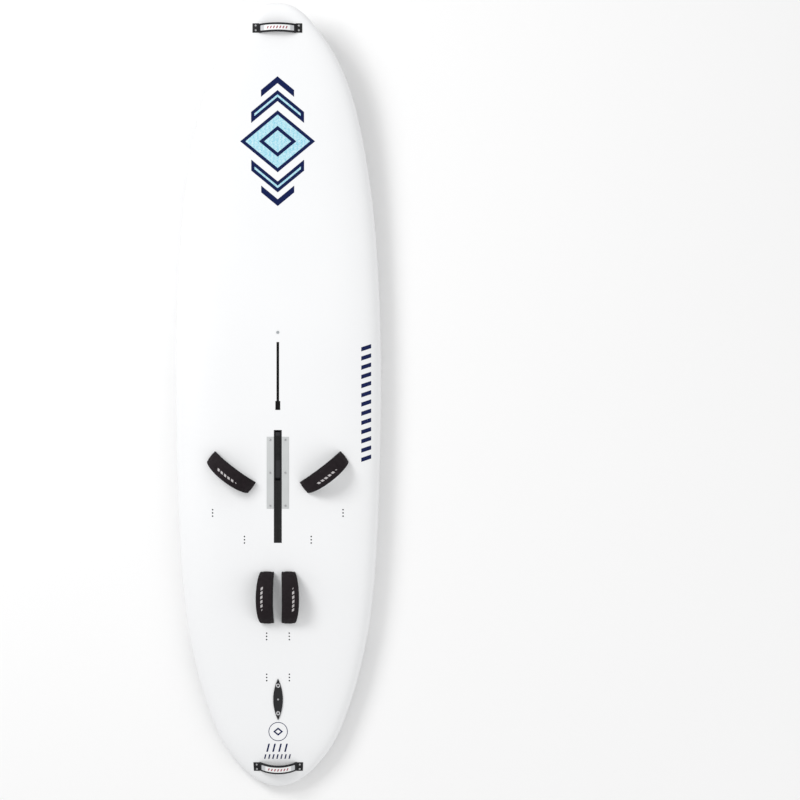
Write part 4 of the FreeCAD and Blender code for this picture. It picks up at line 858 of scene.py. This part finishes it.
for name in ("nose", "tail"):
    low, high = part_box(f"{name}_handle_end_plates")
    middle_place = (low.y + high.y) / 2
    bow = math.copysign(HANDLE_BOW, middle_place)
    sleeve_low, sleeve_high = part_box(f"{name}_handle_sleeve")
    right, right_normal = deck_spot(HANDLE_HALF_SPAN, middle_place)
    up = Vector((0, right_normal.y, right_normal.z)).normalized()
    plate_height = END_PLATE.z
    rise = (sleeve_high.z - right.z - plate_height - SLEEVE * up.z
            - 0.017 * abs(up.y)) / up.z
    arch = Arch(Vector((0, middle_place, right.z + plate_height)), Vector((1, 0, 0)), up,
                HANDLE_HALF_SPAN, rise)
    arc_length = arch.radius * arch.sweep

    sleeve = sheet_grid(f"{name}_handle_webbing", 64, 16)
    for vertex in sleeve.data.vertices:
        share, part, depth = vertex.co
        part = math.sin(part * math.pi / 2)
        roll = 1.1 * MM * math.exp(-((abs(part) - 0.86) / 0.09) ** 2)
        thick = SLEEVE * (1 - 0.4 * abs(part) ** 6) + roll
        aside = bow * (math.cos(share * math.pi / 2) - 0.4) + part * SLEEVE_HALF
        vertex.co = arch.at(share, aside, thick if depth > -0.5 else 0.0)
    subdivided(sleeve)
    finish_piece(sleeve, "hull", webbing_black, [f"{name}_handle_sleeve"], 60)

    def on_sleeve(x, y, height):
        share = x / arc_length
        aside = bow * (math.cos(share * math.pi / 2) - 0.4) + y
        return arch.at(share, aside, SLEEVE + height)

    panel = sheet_grid(f"{name}_handle_plate", 60, 10)
    for vertex in panel.data.vertices:
        x, y, z = vertex.co
        if abs(x) > 0.97:
            y *= 0.9
        vertex.co = on_sleeve(x * PANEL_HALF[0], y * PANEL_HALF[1],
                              0.75 * MM if z > -0.5 else -0.3 * MM)
    edge_round = panel.modifiers.new("edge", "BEVEL")
    edge_round.width = 0.25 * MM
    edge_round.segments = 2
    edge_round.limit_method = "ANGLE"
    apply_all(panel)
    finish_piece(panel, "hull", plate_silver, [f"{name}_handle_panel"])

    bars = []
    for index in range(7):
        bar = sheet_grid(f"{name}_bar_{index}", 3, 2)
        for vertex in bar.data.vertices:
            x, y, z = vertex.co
            vertex.co = on_sleeve(-0.033 + 0.011 * index + 0.0022 * x + 0.0018 * y, 0.0045 * y,
                                  0.95 * MM if z > -0.5 else 0.6 * MM)
        paint(bar, muted_red)
        bars.append(bar)
    finish_piece(join(bars, f"{name}_handle_bars"), "hull")

    ends = []
    for side in (-1, 1):
        seat, normal = deck_spot(side * END_PLATE_AT, middle_place)
        forward = Vector((0, 1, 0))
        aside_axis = forward.cross(normal).normalized()
        turn = Matrix((aside_axis, normal.cross(aside_axis), normal)).transposed()
        nothing_selected()
        bpy.ops.mesh.primitive_cube_add(size=1, location=(0, 0, 0))
        end = bpy.context.object
        for vertex in end.data.vertices:
            vertex.co = Vector((vertex.co.x * END_PLATE.x, vertex.co.y * END_PLATE.y,
                                (vertex.co.z + 0.5) * END_PLATE.z))
        rounded = end.modifiers.new("rounded", "BEVEL")
        rounded.width = 1.1 * MM
        rounded.segments = 3
        apply_all(end)
        nothing_selected()
        bpy.ops.mesh.primitive_cube_add(size=1, location=(0, 0, 0))
        rib = bpy.context.object
        for vertex in rib.data.vertices:
            vertex.co = Vector((-0.0095 + vertex.co.x * END_RIB.x, vertex.co.y * END_RIB.y,
                                0.0026 + (vertex.co.z + 0.5) * END_RIB.z))
        rib_row = rib.modifiers.new("ribs", "ARRAY")
        rib_row.count = 3
        rib_row.use_relative_offset = False
        rib_row.use_constant_offset = True
        rib_row.constant_offset_displace = (END_RIB_PITCH, 0, 0)
        rib_bevel = rib.modifiers.new("rounded", "BEVEL")
        rib_bevel.width = 0.4 * MM
        rib_bevel.segments = 2
        apply_all(rib)
        twin = rib.copy()
        twin.data = rib.data.copy()
        bpy.context.scene.collection.objects.link(twin)
        for vertex in twin.data.vertices:
            vertex.co.x += END_RIB_SETS_APART
        end = join([end, rib, twin], f"{name}_end_{side}")
        for vertex in end.data.vertices:
            vertex.co = seat + turn @ vertex.co
        ends.append(end)
    end_pair = join(ends, f"{name}_handle_ends")
    finish_piece(end_pair, "hull", black_nylon,
                 [f"{name}_handle_end_plates"])

# ---------------------------------------------------------------------- studio
# A plain pale floor under soft light from the upper left, seen straight from above.

VIEW_WIDTH = 2.9064
VIEW_CENTRE = (0.4439526, -0.01362375)
FLOOR_SIZE = 60
FLOOR_DROP = 0.6 * MM
LENS = 200.0
SENSOR = 36.0

nothing_selected()
bpy.ops.mesh.primitive_plane_add(size=FLOOR_SIZE, location=(0, 0, -FLOOR_DROP))
floor = bpy.context.object
floor.name = "studio_floor"
floor_paint = new_finish("studio_floor", (0.93, 0.93, 0.93), 0.9)
cloudy(floor_paint, 0.3, (0.94, 0.94, 0.94), (0.92, 0.92, 0.92))
paint(floor, floor_paint)

world = bpy.data.worlds.new("studio")
world.use_nodes = True
world.node_tree.nodes["Background"].inputs[0].default_value = (1, 1, 1, 1)
world.node_tree.nodes["Background"].inputs[1].default_value = 0.66
bpy.context.scene.world = world
for name, power, size, spot in (("key", 215.0, 2.6, (-3.6, 3.0, 5.0)),
                                ("fill", 80.0, 6.0, (4.0, -3.0, 5.0))):
    lamp = bpy.data.lights.new(name, "AREA")
    lamp.energy = power
    lamp.size = size
    lamp_object = bpy.data.objects.new(name, lamp)
    lamp_object.location = spot
    lamp_object.rotation_euler = (-Vector(spot)).to_track_quat("-Z", "Y").to_euler()
    bpy.context.scene.collection.objects.link(lamp_object)
bpy.context.scene.view_settings.view_transform = "Standard"

camera_data = bpy.data.cameras.new("camera")
camera_data.lens = LENS
camera_data.sensor_width = SENSOR
camera = bpy.data.objects.new("camera", camera_data)
deck_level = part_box("daggerboard_case")[1].z
distance = VIEW_WIDTH * LENS / SENSOR
camera.location = (*VIEW_CENTRE, distance + deck_level)
camera_data.clip_end = 3 * distance
bpy.context.scene.collection.objects.link(camera)
bpy.context.scene.camera = camera
